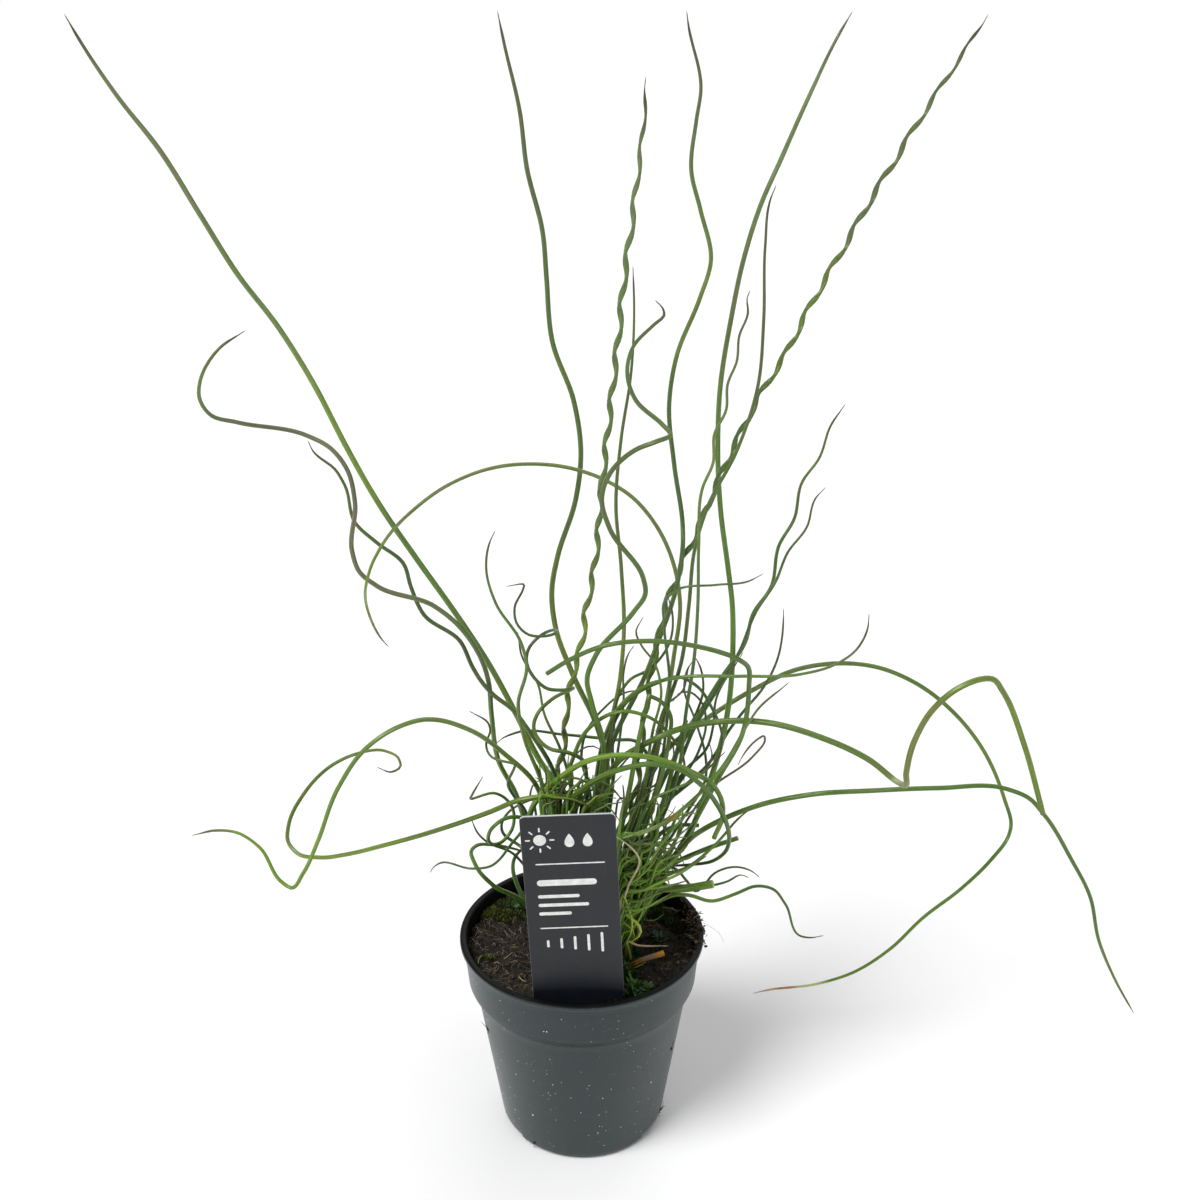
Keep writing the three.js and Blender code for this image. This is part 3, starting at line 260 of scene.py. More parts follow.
def through(points, count):
    """A smooth curve through a few points."""
    points = np.asarray(points, float)
    if len(points) < 3:
        return points[0] + (points[-1] - points[0]) * np.linspace(0, 1, count)[:, None]
    slopes = np.gradient(points, axis=0)
    s = np.linspace(0, len(points) - 1, count)
    k = np.clip(s.astype(int), 0, len(points) - 2)
    t = (s - k)[:, None]
    return hermite(t, points[k], points[k + 1], slopes[k], slopes[k + 1])


# ---- stems: read from the frame ------------------------------------------------------

LOOKS = {
    "stem_fresh": ("54782c", "6b863a"),
    "stem_dark": ("3b5c2b", "516a3b"),
    "stem_olive": ("5d702c", "707a3e"),
    "stem_young": ("8a9c30", "a3b046"),
    "stem_dry": ("8f7a5c", "6f6150"),
    "stem_rusty": ("8a4c22", "b87930"),
}
GREEN = ("stem_fresh", "stem_dark", "stem_olive")
CUT = (
    "arch_front", "cut_arc", "kinked_right", "cut_mid", "cut_mid_right",
    "cut_thick_right", "cut_right", "cut_dark_right", "rusty_stub",
)
TUFTS = ("stem_back_tuft", "stem_front_tuft")
TUFT_SIDES = 4
TUFT_SUNK = 4 * MM
TUFT_ENDS_ABOVE = 80 * MM
TIP_REACH = 2.2 * MM
FEET_WITHIN = 30 * MM
FOOT_FLAT = 0.02 * MM
SLOTS = {part["node"]: part["material_slot"] for part in frame["record"]["subparts"]}


def shared(node):
    """A CAD node's corners, each once, and its triangles."""
    mesh = frame["nodes"][node].data
    corners = np.zeros(len(mesh.vertices) * 3)
    mesh.vertices.foreach_get("co", corners)
    mesh.calc_loop_triangles()
    faces = np.zeros(len(mesh.loop_triangles) * 3, int)
    mesh.loop_triangles.foreach_get("vertices", faces)
    in_microns = np.round(corners.reshape(-1, 3) * 1e6).astype(int)
    once, where = np.unique(in_microns, axis=0, return_inverse=True)
    return once * 1e-6, where.ravel()[faces].reshape(-1, 3)


def linked(corners, faces):
    """The corners that each corner shares an edge with."""
    links = [set() for _ in corners]
    for a, b, c in faces:
        links[a].update((b, c))
        links[b].update((a, c))
        links[c].update((a, b))
    return links


def measured(rings, corners, links):
    """A tube's rings: middles, directions of one corner, half widths and half thicknesses."""
    middles = np.array([corners[r].mean(0) for r in rings])
    along = unit(np.gradient(middles, axis=0))
    corner = rings[0][0]
    if len(rings[0]) == 4:
        corner = max(rings[0], key=lambda i: corners[i, 0])
    chosen = [corner]
    for k in range(1, len(rings)):
        pair = [i for i in links[corner] if i in set(rings[k])]
        if len(pair) == 2:
            a, b = (corners[i] - middles[k] for i in pair)
            corner = pair[0] if np.cross(a, b) @ along[k] > 0 else pair[1]
        elif pair:
            corner = pair[0]
        chosen.append(corner)
    aims, wide, thin = [], [], []
    for k, ring in enumerate(rings):
        arms = corners[ring] - middles[k]
        aim = corners[chosen[k]] - middles[k]
        lengths = np.linalg.norm(arms, axis=1)
        wide.append(np.linalg.norm(aim) if len(ring) == 4 else lengths.mean())
        thin.append(lengths.min() if len(ring) == 4 else lengths.mean())
        aims.append(aim / np.linalg.norm(aim))
    return middles, np.array(aims), np.array(wide), np.array(thin)


def single_tube(node):
    """The rings of a stem that is one tube, from its foot to its end, and its last point."""
    corners, faces = shared(node)
    links = linked(corners, faces)
    near = np.hypot(corners[:, 0], corners[:, 1]) < FEET_WITHIN
    lowest = corners[near, 2].min()
    foot = {i for i in np.flatnonzero(near) if corners[i, 2] < lowest + FOOT_FLAT}
    rings = [sorted(i for i in foot if links[i] - foot)]
    seen = set(foot)
    end = None
    while True:
        following = sorted({k for i in rings[-1] for k in links[i]} - seen)
        if not following:
            break
        seen.update(following)
        if len(following) == 1:
            end = corners[following[0]]
            break
        rings.append(following)
    return measured(rings, corners, links), end


def tuft_tubes(node):
    """The stems of a tuft, and the faces of the runner that joins them in the soil."""
    corners, faces = shared(node)
    links = linked(corners, faces)
    seen = set()
    found = []

    def follow(ring, end):
        rings = [ring]
        while True:
            following = sorted({k for i in rings[-1] for k in links[i]} - seen)
            if len(following) != TUFT_SIDES:
                break
            seen.update(following)
            rings.append(following)
        tube = list(measured(rings[::-1], corners, links))
        below = tube[0][:1] - [[0, 0, TUFT_SUNK]]
        tube[0] = np.concatenate([below, tube[0]])
        for k in (1, 2, 3):
            tube[k] = np.concatenate([tube[k][:1], tube[k]])
        found.append((tube, end))

    high = [i for i in range(len(corners)) if corners[i, 2] > TUFT_ENDS_ABOVE]
    for i in high:
        reach = max(np.linalg.norm(corners[k] - corners[i]) for k in links[i])
        if len(links[i]) == TUFT_SIDES and reach < TIP_REACH:
            seen.update(links[i] | {i})
            follow(sorted(links[i]), corners[i])
    last = [i for i in high if i not in seen and len(links[i]) < 6]
    if len(last) == TUFT_SIDES:
        seen.update(last)
        follow(last, None)
    runner = [face for face in faces if not seen.issuperset(face)]
    return found, corners, runner


def finer(middles, aims, wide, thin, step):
    """Resamples rings every step along a smooth curve through their middles."""
    spans = np.linalg.norm(np.diff(middles, axis=0), axis=1)
    at = np.concatenate([[0], np.cumsum(spans)])
    slopes = np.zeros_like(middles)
    rates = np.diff(middles, axis=0) / spans[:, None]
    slopes[0], slopes[-1] = rates[0], rates[-1]
    h0, h1 = spans[:-1, None], spans[1:, None]
    slopes[1:-1] = (rates[:-1] * h1 + rates[1:] * h0) / (h0 + h1)
    count = max(8, int(math.ceil(at[-1] / step)))
    s = np.linspace(0, at[-1], count + 1)
    k = np.clip(np.searchsorted(at, s, side="right") - 1, 0, len(spans) - 1)
    h = spans[k]
    t = ((s - at[k]) / h)[:, None]
    points = hermite(t, middles[k], middles[k + 1], slopes[k], slopes[k + 1], h[:, None])
    along = unit(np.gradient(points, axis=0))
    cosine = np.clip((aims[k] * aims[k + 1]).sum(1), -1, 1)
    angle = np.arccos(cosine)
    safe = np.where(angle < 1e-4, 1, np.sin(angle))
    a = np.where(angle < 1e-4, 1 - t[:, 0], np.sin((1 - t[:, 0]) * angle) / safe)
    b = np.where(angle < 1e-4, t[:, 0], np.sin(t[:, 0] * angle) / safe)
    aim = aims[k] * a[:, None] + aims[k + 1] * b[:, None]
    aim = unit(aim - along * (aim * along).sum(1)[:, None])
    wide = wide[k] * (1 - t[:, 0]) + wide[k + 1] * t[:, 0]
    thin = thin[k] * (1 - t[:, 0]) + thin[k + 1] * t[:, 0]
    return s, points, along, aim, wide, thin


# ---- stems: skins --------------------------------------------------------------------

STEM_STEP = 1.5 * MM
STEM_SIDES = 14
STEM_RIBS = 9
TIP_LENGTH = 6 * MM
RIB_TWIST = 260
# Colours that stems turn to: with height, in patches, at the foot and towards the tip.
LOW_GREEN, MID_GREEN, HIGH_GREY = (linear(c) for c in ("427018", "587040", "74805c"))
YELLOWED, DULLED = linear("85a02c"), linear("615a44")
SHEATH, FOOT = linear("7a7a30"), linear("3a2618")
WITHERED, BROWN = linear("55523a"), linear("4d382a")
PITH = linear("c4c48e")
DULL_ENDS = ("cut_arc", "cut_dark_right", "arch_front")

# Marks on stems: (stem, across, down, reach in mm, colour, strength), each round the stem's
# point nearest to that spot of the camera's frame.
MARKS = (
    ("arch_front", 546, 793, 5, "8a5a30", 0.85),
    ("arch_front", 700, 770, 60, "6f8f34", 0.45),
    ("arch_front", 600, 755, 40, "789a34", 0.45),
    ("slim_right", 672, 817, 3.2, "b0702c", 0.6),
    ("kinked_right", 904, 786, 6, "b9b3a4", 0.8),
    ("kinked_right", 915, 750, 22, "7d7a4a", 0.6),
    ("kinked_right", 1020, 770, 55, "7b8c36", 0.5),
    ("long_arch_right", 800, 987, 12, "c2c48a", 0.85),
    ("long_arch_right", 780, 988, 8, "a8642c", 0.85),
    ("long_arch_right", 757, 992, 10, "cbb893", 0.9),
    ("dead_stem", 640, 943, 60, "f8d9c4", 0.95),
    ("hooked_left", 320, 440, 45, "6c6455", 0.8),
    ("hooked_left", 356, 560, 25, "70685a", 0.7),
    ("hooked_left", 400, 592, 25, "6f6a55", 0.6),
    ("great_arc", 530, 463, 80, "7c8c50", 0.6),
    ("dry_kinked", 628, 880, 90, "dccca6", 0.9),
    ("rusty_stub", 653, 956, 5, "a08472", 0.9),
    ("rusty_stub", 664, 951, 4, "e09a34", 0.9),
    ("young_shoot", 640, 980, 30, "93b84a", 0.85),
)

# Stems that are plainly lighter or darker than their neighbours, and how much lighter the thin
# young shoots are.
SHOOT_GAIN = 1.22
STEM_SHADES = {
    "kinked_right": 0.78, "long_right": 0.8, "great_arc": 1.12, "hooked_left": 1.2,
    "thin_wavy": 1.15, "s_curve": 0.95, "dry_kinked": 1.6, "dead_stem": 1.7,
}


def patches(points, scale, offset):
    """A slowly changing number along a stem."""
    return np.array([noise.noise(Vector(p) * scale + Vector(offset)) for p in points])[:, None]


def stem_colours(name, slot, s, points, cut):
    """One colour a ring, from the foot to the end."""
    fresh, old = (linear(c) for c in LOOKS[slot])
    shade = rng.uniform(0.76, 1.18)
    shade = STEM_SHADES.get(name, shade)
    if name in ("shoot", "thicket"):
        shade *= SHOOT_GAIN
    warmth = rng.uniform(-0.5, 0.4)
    lengthwise = patches(points, 22, (0, 0, 0))
    colour = mix(fresh * shade, old * shade, 0.5 + warmth + 0.9 * lengthwise)
    if slot in GREEN:
        height = points[:, 2:3] + 0.03 * lengthwise
        colour = mix(colour, LOW_GREEN * shade, 0.55 * (1 - smooth(90 * MM, 160 * MM, height)))
        colour = mix(colour, MID_GREEN * shade, 0.65 * smooth(140 * MM, 250 * MM, height))
        colour = mix(colour, HIGH_GREY * shade, 0.65 * smooth(260 * MM, 360 * MM, height))
        yellowed = smooth(0.05, 0.4, patches(points, 19, (9, 2, 5)))
        colour = mix(colour, YELLOWED * shade, 0.34 * yellowed)
        dulled = smooth(0.05, 0.4, patches(points, 15, (3, 7, 1)))
        colour = mix(colour, DULLED * shade, 0.38 * (dulled * smooth(130 * MM, 220 * MM, height)))
        surface = soil_height(*(points[0, :2] / MM)) * MM
        above = (s + points[0, 2] - surface)[:, None]
        colour = mix(SHEATH, colour, smooth(0, 14 * MM, above))
        colour = mix(FOOT, colour, smooth(-2 * MM, 5 * MM, above))
        if not cut:
            left = (s[-1] - s)[:, None]
            colour = mix(WITHERED, colour, smooth(0, min(24 * MM, 0.2 * s[-1]), left))
            colour = mix(BROWN, colour, smooth(0, min(9 * MM, 0.07 * s[-1]), left))
    for stem, across, down, reach, tone, strength in MARKS:
        if stem == name:
            x, y = seen_at(points)
            nearest = points[np.argmin(np.hypot(x - across, y - down))]
            off = np.linalg.norm(points - nearest, axis=1)[:, None] / MM
            colour = mix(colour, linear(tone), strength * (1 - smooth(0.55 * reach, reach, off)))
    return colour


class Skin:
    """Corners and faces of stems, with a colour and a rib's height for each corner."""

    def __init__(self):
        self.corners, self.faces, self.tones, self.ribs = [], [], [], []

    def ring(self, middle, arms, tone, run):
        for k, arm in enumerate(arms):
            self.corners.append(middle + arm)
            self.tones.append(tone)
            self.ribs.append(math.cos(STEM_RIBS * 2 * math.pi * k / len(arms) + run * RIB_TWIST))
        return len(self.corners) - len(arms)

    def bridge(self, a, b, sides):
        for k in range(sides):
            n = (k + 1) % sides
            self.faces.append((a + k, a + n, b + n, b + k))

    def fan(self, a, sides, point, tone):
        self.corners.append(point)
        self.tones.append(tone)
        self.ribs.append(0)
        for k in range(sides):
            self.faces.append((a + k, a + (k + 1) % sides, len(self.corners) - 1))

    def made(self, name, material, slot, replaced=()):
        whole = piece(name, self.corners, self.faces, material, slot, replaced=replaced)
        paint(whole, self.tones)
        rib_heights(whole, self.ribs)


def grow(skin, tube, end, name, slot, cut, sides=STEM_SIDES, step=STEM_STEP):
    """One stem's round, ribbed skin along the tube's middles."""
    s, points, along, aim, wide, thin = finer(*tube, step)
    over = np.cross(along, aim)
    colours = stem_colours(name, slot, s, points, cut or name == "thicket")
    if not cut:
        narrowing = np.sqrt(np.clip((s[-1] - s) / TIP_LENGTH, 0.25, 1))
        wide, thin = wide * narrowing, thin * narrowing
    angles = np.arange(sides) / sides * 2 * math.pi
    cosine, sine = np.cos(angles)[:, None], np.sin(angles)[:, None]
    before = None
    for i in range(len(s)):
        arms = aim[i] * wide[i] * cosine + over[i] * thin[i] * sine
        here = skin.ring(points[i], arms, colours[i], s[i])
        if before is not None:
            skin.bridge(before, here, sides)
        before = here
    if not cut:
        skin.fan(before, sides, end, colours[-1])
        return
    # A cut end: a flat pith, and a shallow hollow in its middle, whose darker colour is painted shade.
    pith = BROWN if name in DULL_ENDS else PITH
    for share, lift, tone in ((0.84, 0.02 * MM, pith), (0.35, -0.25 * MM, pith * 0.7)):
        here = skin.ring(points[-1] + along[-1] * lift, arms * share, tone, s[-1])
        skin.bridge(before, here, sides)
        before = here
    skin.fan(before, sides, points[-1] - along[-1] * 0.3 * MM, pith * 0.6)


def stem_skin(node, material):
    """A CAD stem's or tuft's finer skin."""
    name = node[len("stem_") :]
    slot = SLOTS[node]
    skin = Skin()
    if node in TUFTS:
        found, corners, runner = tuft_tubes(node)
        for tube, end in found:
            grow(skin, tube, end, name, slot, end is None)
        start = len(skin.corners)
        skin.corners += list(corners)
        skin.tones += [linear("4a3020")] * len(corners)
        skin.ribs += [0] * len(corners)
        skin.faces += [tuple(start + c for c in face) for face in runner]
    else:
        tube, end = single_tube(node)
        grow(skin, tube, end, name, slot, name in CUT)
    skin.made(f"rush_{name}", material, slot, (node,))


def stem_material(name, roughness):
    """Stems take their colour from the corners, with fine ribs painted darker in the grooves and lighter
    on the ridges as shade and light, a mottle and pale worn flecks.
    """
    sh = Shader(name)
    tone = sh.written("tone", "Color")
    rib = sh.written("rib", "Fac")
    fine = sh.noise(900, detail=4)
    broad = sh.noise(90, detail=3)
    worn = sh.blend(1.0, tone, (0.58, 0.68, 0.45), "MULTIPLY")
    colour = sh.blend(sh.ramp(broad, (0.35, 0), (0.7, 0.45)), tone, worn)
    # Painted shade and light: the ribs' grooves are painted darker and their ridges lighter.
    rib_light_and_shade = sh.math("MULTIPLY_ADD", rib, 0.3, 0.5)
    mottle = sh.math("MULTIPLY_ADD", fine, 0.5, 0.25)
    value = sh.math("ADD", rib_light_and_shade, mottle)
    colour = sh.blend(0.7, colour, sh.ramp(value, (0.4, 0.3), (1.25, 1.0)), "MULTIPLY")
    pale = sh.ramp(sh.noise(160, detail=5, roughness=0.7), (0.6, 0.0), (0.8, 0.3))
    colour = sh.blend(pale, colour, sh.blend(1.0, tone, (1.5, 1.45, 1.3), "MULTIPLY"))
    gloss = sh.ramp(fine, (0.3, roughness - 0.08), (0.7, roughness + 0.1))
    sh.set(Base_Color=colour, Roughness=gloss)
    bumps = sh.bump(rib, 0.6, 0.14 * MM)
    sh.set(Normal=sh.bump(fine, 0.25, 0.1 * MM, bumps), Specular_IOR_Level=0.55)
    sh.set(Specular_Tint=(0.82, 1.0, 0.62, 1.0))
    return sh.material


# ---- stems: fine shoots in the crown -------------------------------------------------

# Each shoot: its look, its thickness in mm at the foot and the tip, its root's x and y in mm,
# and then the spots it passes: across and down in the camera's frame, and y in mm.
SHOOTS = (
    ("fresh", 1.1, 0.6, 7, -23, 619, 846, -26, 640, 835, -25, 662, 825, -24, 674, 815, -23),
    ("fresh", 1.3, 0.7, 9, -20, 619, 884, -24, 635, 872, -24, 650, 862, -25, 661, 845, -25, 681, 820, -24,
     699, 806, -22),
    ("fresh", 1.1, 0.6, 9, -23, 619, 894, -26, 633, 882, -26, 645, 872, -26, 654, 862, -26,
     660, 850, -25),
    ("dark", 1.2, 0.7, 8, -22, 619, 850, -25, 635, 845, -24, 650, 843.5, -24, 661, 848, -23,
     671, 856, -22),
    ("dark", 1.0, 0.5, 8, -16, 620, 872, -20, 636, 862, -20, 650, 856, -19, 660, 851, -18, 668, 856, -17,
     676, 866, -16),
    ("dark", 1.0, 0.5, 7, -18, 618, 868, -20, 632, 858, -20, 645, 850, -19, 657, 852, -18, 668, 862, -17),
    ("fresh", 1.4, 0.8, 10, -20, 620, 900, -24, 644, 890, -23, 661, 882, -22, 677, 875, -20,
     690, 867, -19, 705, 857, -18),
    ("fresh", 1.2, 0.6, 10, -24, 622, 915, -27, 635, 911, -27, 647, 907, -26, 660, 900, -25,
     672, 893, -24),
    ("olive", 0.9, 0.5, 10, -25, 621, 920, -27, 635, 914, -27, 643, 908, -26, 652, 898, -26,
     659, 886, -25),
    ("fresh", 0.9, 0.5, 8, -26, 623, 911, -28, 631, 908, -28, 638, 903, -28, 646, 895, -27),
    ("fresh", 1.3, 0.8, 9, -18, 619, 897, -22, 632, 893, -23, 648, 889, -23, 668, 886, -22,
     686, 881, -21),
    ("dark", 1.2, 0.7, 8, -17, 619, 888, -21, 630, 884, -22, 641, 880, -22, 655, 884, -21, 668, 880, -20),
    ("fresh", 1.0, 0.5, 8, -22, 619, 876, -25, 634, 859, -25, 640, 846, -25, 645, 836, -24),
    ("dark", 1.1, 0.6, 7, -20, 618, 866, -23, 630, 848, -23, 641, 841, -22, 655, 838, -21),
    ("dark", 1.2, 0.6, 8, -17, 619, 878, -19, 630, 868, -19, 642, 857, -18, 652, 845, -17, 657, 832, -16),
    ("olive", 1.0, 0.6, 7, -25, 618, 872, -27, 626, 858, -27, 629, 847, -27, 636, 838, -26),
    ("fresh", 1.3, 0.9, 7, -22, 616, 850, -26, 619, 833, -26, 621, 815, -25, 624, 800, -24,
     623, 786, -23),
    ("dark", 1.1, 0.6, 9, -16, 619, 886, -19, 634, 876, -19, 648, 869, -18, 661, 866, -17, 675, 868, -15),
    ("fresh", 1.1, 0.6, 9, -18, 620, 905, -22, 634, 893, -22, 646, 884, -21, 655, 872, -21, 660, 860, -20,
     671, 848, -19, 684, 838, -18),
    ("fresh", 1.2, 0.6, 9, -19, 620, 893, -22, 640, 884, -22, 658, 873, -21, 673, 861, -20, 686, 846, -19,
     693, 836, -18),
    ("dark", 1.3, 0.7, 8, -15, 620, 882, -17, 640, 873, -16, 655, 862, -15, 672, 857, -13, 684, 850, -12,
     690, 840, -11),
    ("dark", 1.4, 0.8, 6, -14, 618, 862, -15, 633, 851, -14, 646, 838, -13, 655, 822, -12, 658, 805, -11),
    ("fresh", 1.2, 0.7, 5, -15, 617, 848, -16, 626, 832, -15, 632, 815, -14, 642, 800, -13,
     655, 788, -12),
    ("dark", 1.3, 0.7, 4, -12, 616, 838, -13, 622, 822, -12, 634, 808, -11, 650, 803, -10, 664, 806, -9),
    ("fresh", 1.1, 0.6, 9, -20, 620, 880, -22, 632, 878, -22, 646, 870, -21, 660, 871, -21, 674, 862, -20,
     690, 858, -19, 704, 848, -18),
    ("dark", 1.2, 0.6, 9, -21, 620, 905, -23, 634, 902, -23, 650, 897, -22, 664, 891, -21, 679, 888, -20),
    ("dry", 0.6, 0.4, 10, -14, 620, 874, -18, 634, 872, -18, 648, 878.5, -18, 660, 878, -18,
     671, 875, -17, 682, 869, -16, 690, 867, -15),
    ("young", 1.2, 0.8, 11, -25, 619, 913, -26, 628, 917, -26, 637, 923, -26, 641, 931, -26,
     637, 938, -26, 628, 943, -26),
    ("young", 1.1, 0.7, 12, -26, 621, 900, -27, 628, 908, -27, 632, 920, -27, 631, 932, -27,
     626, 944, -27),
    ("young", 1.0, 0.7, 11, -24, 620, 926, -25, 629, 927, -25, 634, 933, -25, 633, 941, -25),
    ("young", 1.0, 0.6, 12, -23, 622, 936, -24, 630, 930, -24, 638, 921, -24, 643, 911, -24),
    ("fresh", 1.2, 0.6, -4, -20, 541, 812, -24, 546, 797, -24, 556, 797.5, -24, 571, 799, -23,
     584, 804, -23, 600, 810, -22),
    ("dark", 1.1, 0.6, -6, -17, 552, 815, -18, 557, 796, -17, 564, 783, -16, 575, 786, -15,
     586, 790, -15),
    ("dark", 1.3, 0.7, -8, -18, 550, 818, -19, 552, 800, -19, 550, 785, -18, 545, 771, -17),
    ("dark", 1.2, 0.7, -5, -14, 557, 818, -15, 560, 802, -15, 564, 789, -14, 572, 778, -13),
    ("fresh", 1.1, 0.6, -2, -18, 563, 820, -20, 567, 806, -20, 566, 792, -20, 560, 780, -19),
    ("dark", 1.2, 0.6, 0, -17, 571, 820, -18, 573, 806, -18, 580, 795, -17, 589, 789, -17, 597, 783, -16),
    ("dark", 1.0, 0.5, 2, -14, 582, 820, -15, 585, 806, -15, 592, 797, -14, 603, 794, -13),
    ("dark", 1.0, 0.6, 3, -17, 590, 818, -18, 588, 805, -18, 582, 795, -17, 573, 790, -17),
    ("fresh", 1.1, 0.6, -7, -22, 544, 820, -24, 549, 806, -24, 558, 797, -23, 563, 787, -22),
    ("dark", 1.0, 0.5, 5, -15, 600, 818, -16, 603, 806, -15, 600, 793, -15, 595, 784, -14, 588, 779, -14),
    ("dark", 1.1, 0.6, -10, -15, 545, 822, -16, 543, 806, -16, 549, 793, -15, 560, 789, -14),
    ("dark", 1.2, 0.7, 4, -12, 596, 815, -12, 606, 800, -11, 612, 785, -10, 610, 770, -9),
    ("dark", 1.0, 0.5, 8, -10, 616, 812, -10, 624, 800, -9, 636, 791, -8, 649, 789, -7),
    ("dark", 1.1, 0.6, -12, -10, 536, 815, -10, 530, 800, -9, 533, 785, -8, 543, 779, -7),
    ("dark", 1.2, 0.7, -9, -12, 548, 822, -14, 553, 808, -13, 562, 796, -12, 574, 791, -11),
    ("dark", 1.2, 0.7, -3, -12, 566, 822, -13, 576, 810, -12, 578, 796, -11, 572, 784, -10),
    ("dark", 1.2, 0.7, 3, -10, 586, 822, -11, 594, 808, -10, 596, 794, -9, 604, 782, -8),
    ("dark", 1.0, 0.5, 9, 6, 640, 800, 6, 652, 788, 6, 668, 770, 7, 674, 752, 8, 668, 737, 9,
     656, 731, 9),
    ("dark", 1.0, 0.5, -8, 8, 572, 790, 8, 569, 770, 8, 578, 752, 9, 592, 746, 10, 604, 752, 11),
    ("dark", 1.1, 0.6, 9, 2, 650, 806, 2, 668, 800, 2, 688, 785, 1, 704, 772, 0, 712, 757, 0,
     709, 742, 0),
    ("dark", 1.0, 0.5, 2, 15, 610, 790, 14, 622, 765, 14, 640, 748, 15, 656, 742, 16, 669, 748, 17),
)
SHOOT_SIDES = 8
SHOOT_STEP = 2.4 * MM
# A shoot starts this far under the soil and stands upright to this far above it.
SHOOT_SUNK = 3
SHOOT_UPRIGHT = 2
# How many points a drawn curve has for each spot that it passes.
POINTS_A_SPOT = 6


def shoot_tube(root, spots, thick, thin):
    """A tube that comes upright out of the soil at root and passes through the spots."""
    x, y = root
    level = soil_height(x, y)
    path = [np.array([x, y, level - SHOOT_SUNK]), np.array([x, y, level + SHOOT_UPRIGHT])]
    path += [at_depth(*spot) for spot in spots]
    path = through(path, POINTS_A_SPOT * len(path)) * MM
    along = unit(np.gradient(path, axis=0))
    aims = [np.array([1.0, 0.0, 0.0])]
    for way in along[1:]:
        aim = aims[-1] - way * (aims[-1] @ way)
        aims.append(aim / np.linalg.norm(aim))
    radii = np.linspace(thick, thin, len(path)) * MM / 2
    return path, np.array(aims), radii, radii


# Thickets of short shoots: (across, down, how far each way, y from and to, root x and y,
# the heading of most shoots in degrees, how many).
THICKETS = (
    (576, 798, 30, 9, -24, -10, -3, -17, 60, 30),
    (645, 868, 22, 24, -23, -12, 6, -19, 25, 36),
    (660, 835, 24, 18, -16, -4, 6, -12, 50, 16),
    (556, 786, 18, 10, -16, -6, -8, -10, 110, 6),
)
# A thicket's shoot passes so many spots, so many pixels apart, after one left of and below them.
THICKET_SPOTS = 4
THICKET_STRIDE = 8.5
THICKET_FOOT = (6, 26)


def thicket_tubes():
    """The looks and tubes of the thickets' shoots, which wander at random."""
    for across, down, wide, high, near, far, x, y, heading, count in THICKETS:
        for _ in range(count):
            a, d = across + rng.uniform(-wide, wide), down + rng.uniform(-high, high)
            depth = rng.uniform(near, far)
            turn = math.radians(rng.gauss(heading, 38))
            bend = rng.uniform(-1.3, 1.3)
            spots = [(a - 0.4 * (a - across) - THICKET_FOOT[0], d + THICKET_FOOT[1], depth)]
            for _ in range(THICKET_SPOTS):
                spots.append((a, d, depth))
                a += THICKET_STRIDE * math.cos(turn)
                d -= THICKET_STRIDE * math.sin(turn)
                turn += bend / 3
                depth += rng.uniform(-0.6, 0.9)
            root = (x + rng.uniform(-4, 3), y + rng.uniform(-3, 3))
            look = rng.choice(("stem_fresh", "stem_fresh", "stem_dark", "stem_olive"))
            yield look, shoot_tube(root, spots, rng.uniform(0.9, 1.3), rng.uniform(0.45, 0.7))


def grow_shoot(skin, name, look, tube):
    """One shoot's skin. Its tip lies one more step along the tube."""
    middles = tube[0]
    tip = middles[-1] * 2 - middles[-2]
    grow(skin, tube, tip, name, look, False, SHOOT_SIDES, SHOOT_STEP)


def shoots(material):
    """The fine shoots and thickets of the crown, all in one piece."""
    skin = Skin()
    for look, tube in thicket_tubes():
        grow_shoot(skin, "thicket", look, tube)
    for look, thick, thin, x, y, *numbers in SHOOTS:
        spots = zip(numbers[0::3], numbers[1::3], numbers[2::3])
        grow_shoot(skin, "shoot", f"stem_{look}", shoot_tube((x, y), spots, thick, thin))
    skin.made("rush_shoots", material, "stem_fresh")


# ---- pot -----------------------------------------------------------------------------

# The CAD pot's numbers, in millimetres.
POT_HEIGHT = 80.0
LIP_RADIUS = 45.0
LIP_BOTTOM = 78.3
BAND_TOP_RADIUS = 43.8
BAND_BOTTOM_RADIUS = 42.0
BAND_BOTTOM = 59.3
STEP_TOP = 62.1
BODY_TOP_RADIUS = 39.6
BODY_BOTTOM_RADIUS = 30.6
FOOT_RADIUS = 29.2
FOOT_CHAMFER = 1.8
WALL = 1.3
NOTCH_COUNT = 3
NOTCH_WIDTH = 14.0
NOTCH_HEIGHT = 3.0
NOTCH_DEPTH = 5.0
NOTCH_START = 0.75
POT_SIDES = 160


def band_radius(z):
    return BAND_BOTTOM_RADIUS + (BAND_TOP_RADIUS - BAND_BOTTOM_RADIUS) * (z - BAND_BOTTOM) / (
        POT_HEIGHT - BAND_BOTTOM
    )


def wall_radius(z):
    return BODY_BOTTOM_RADIUS + (BODY_TOP_RADIUS - BODY_BOTTOM_RADIUS) * z / BAND_BOTTOM


def inner_radius(z):
    return band_radius(z) - WALL


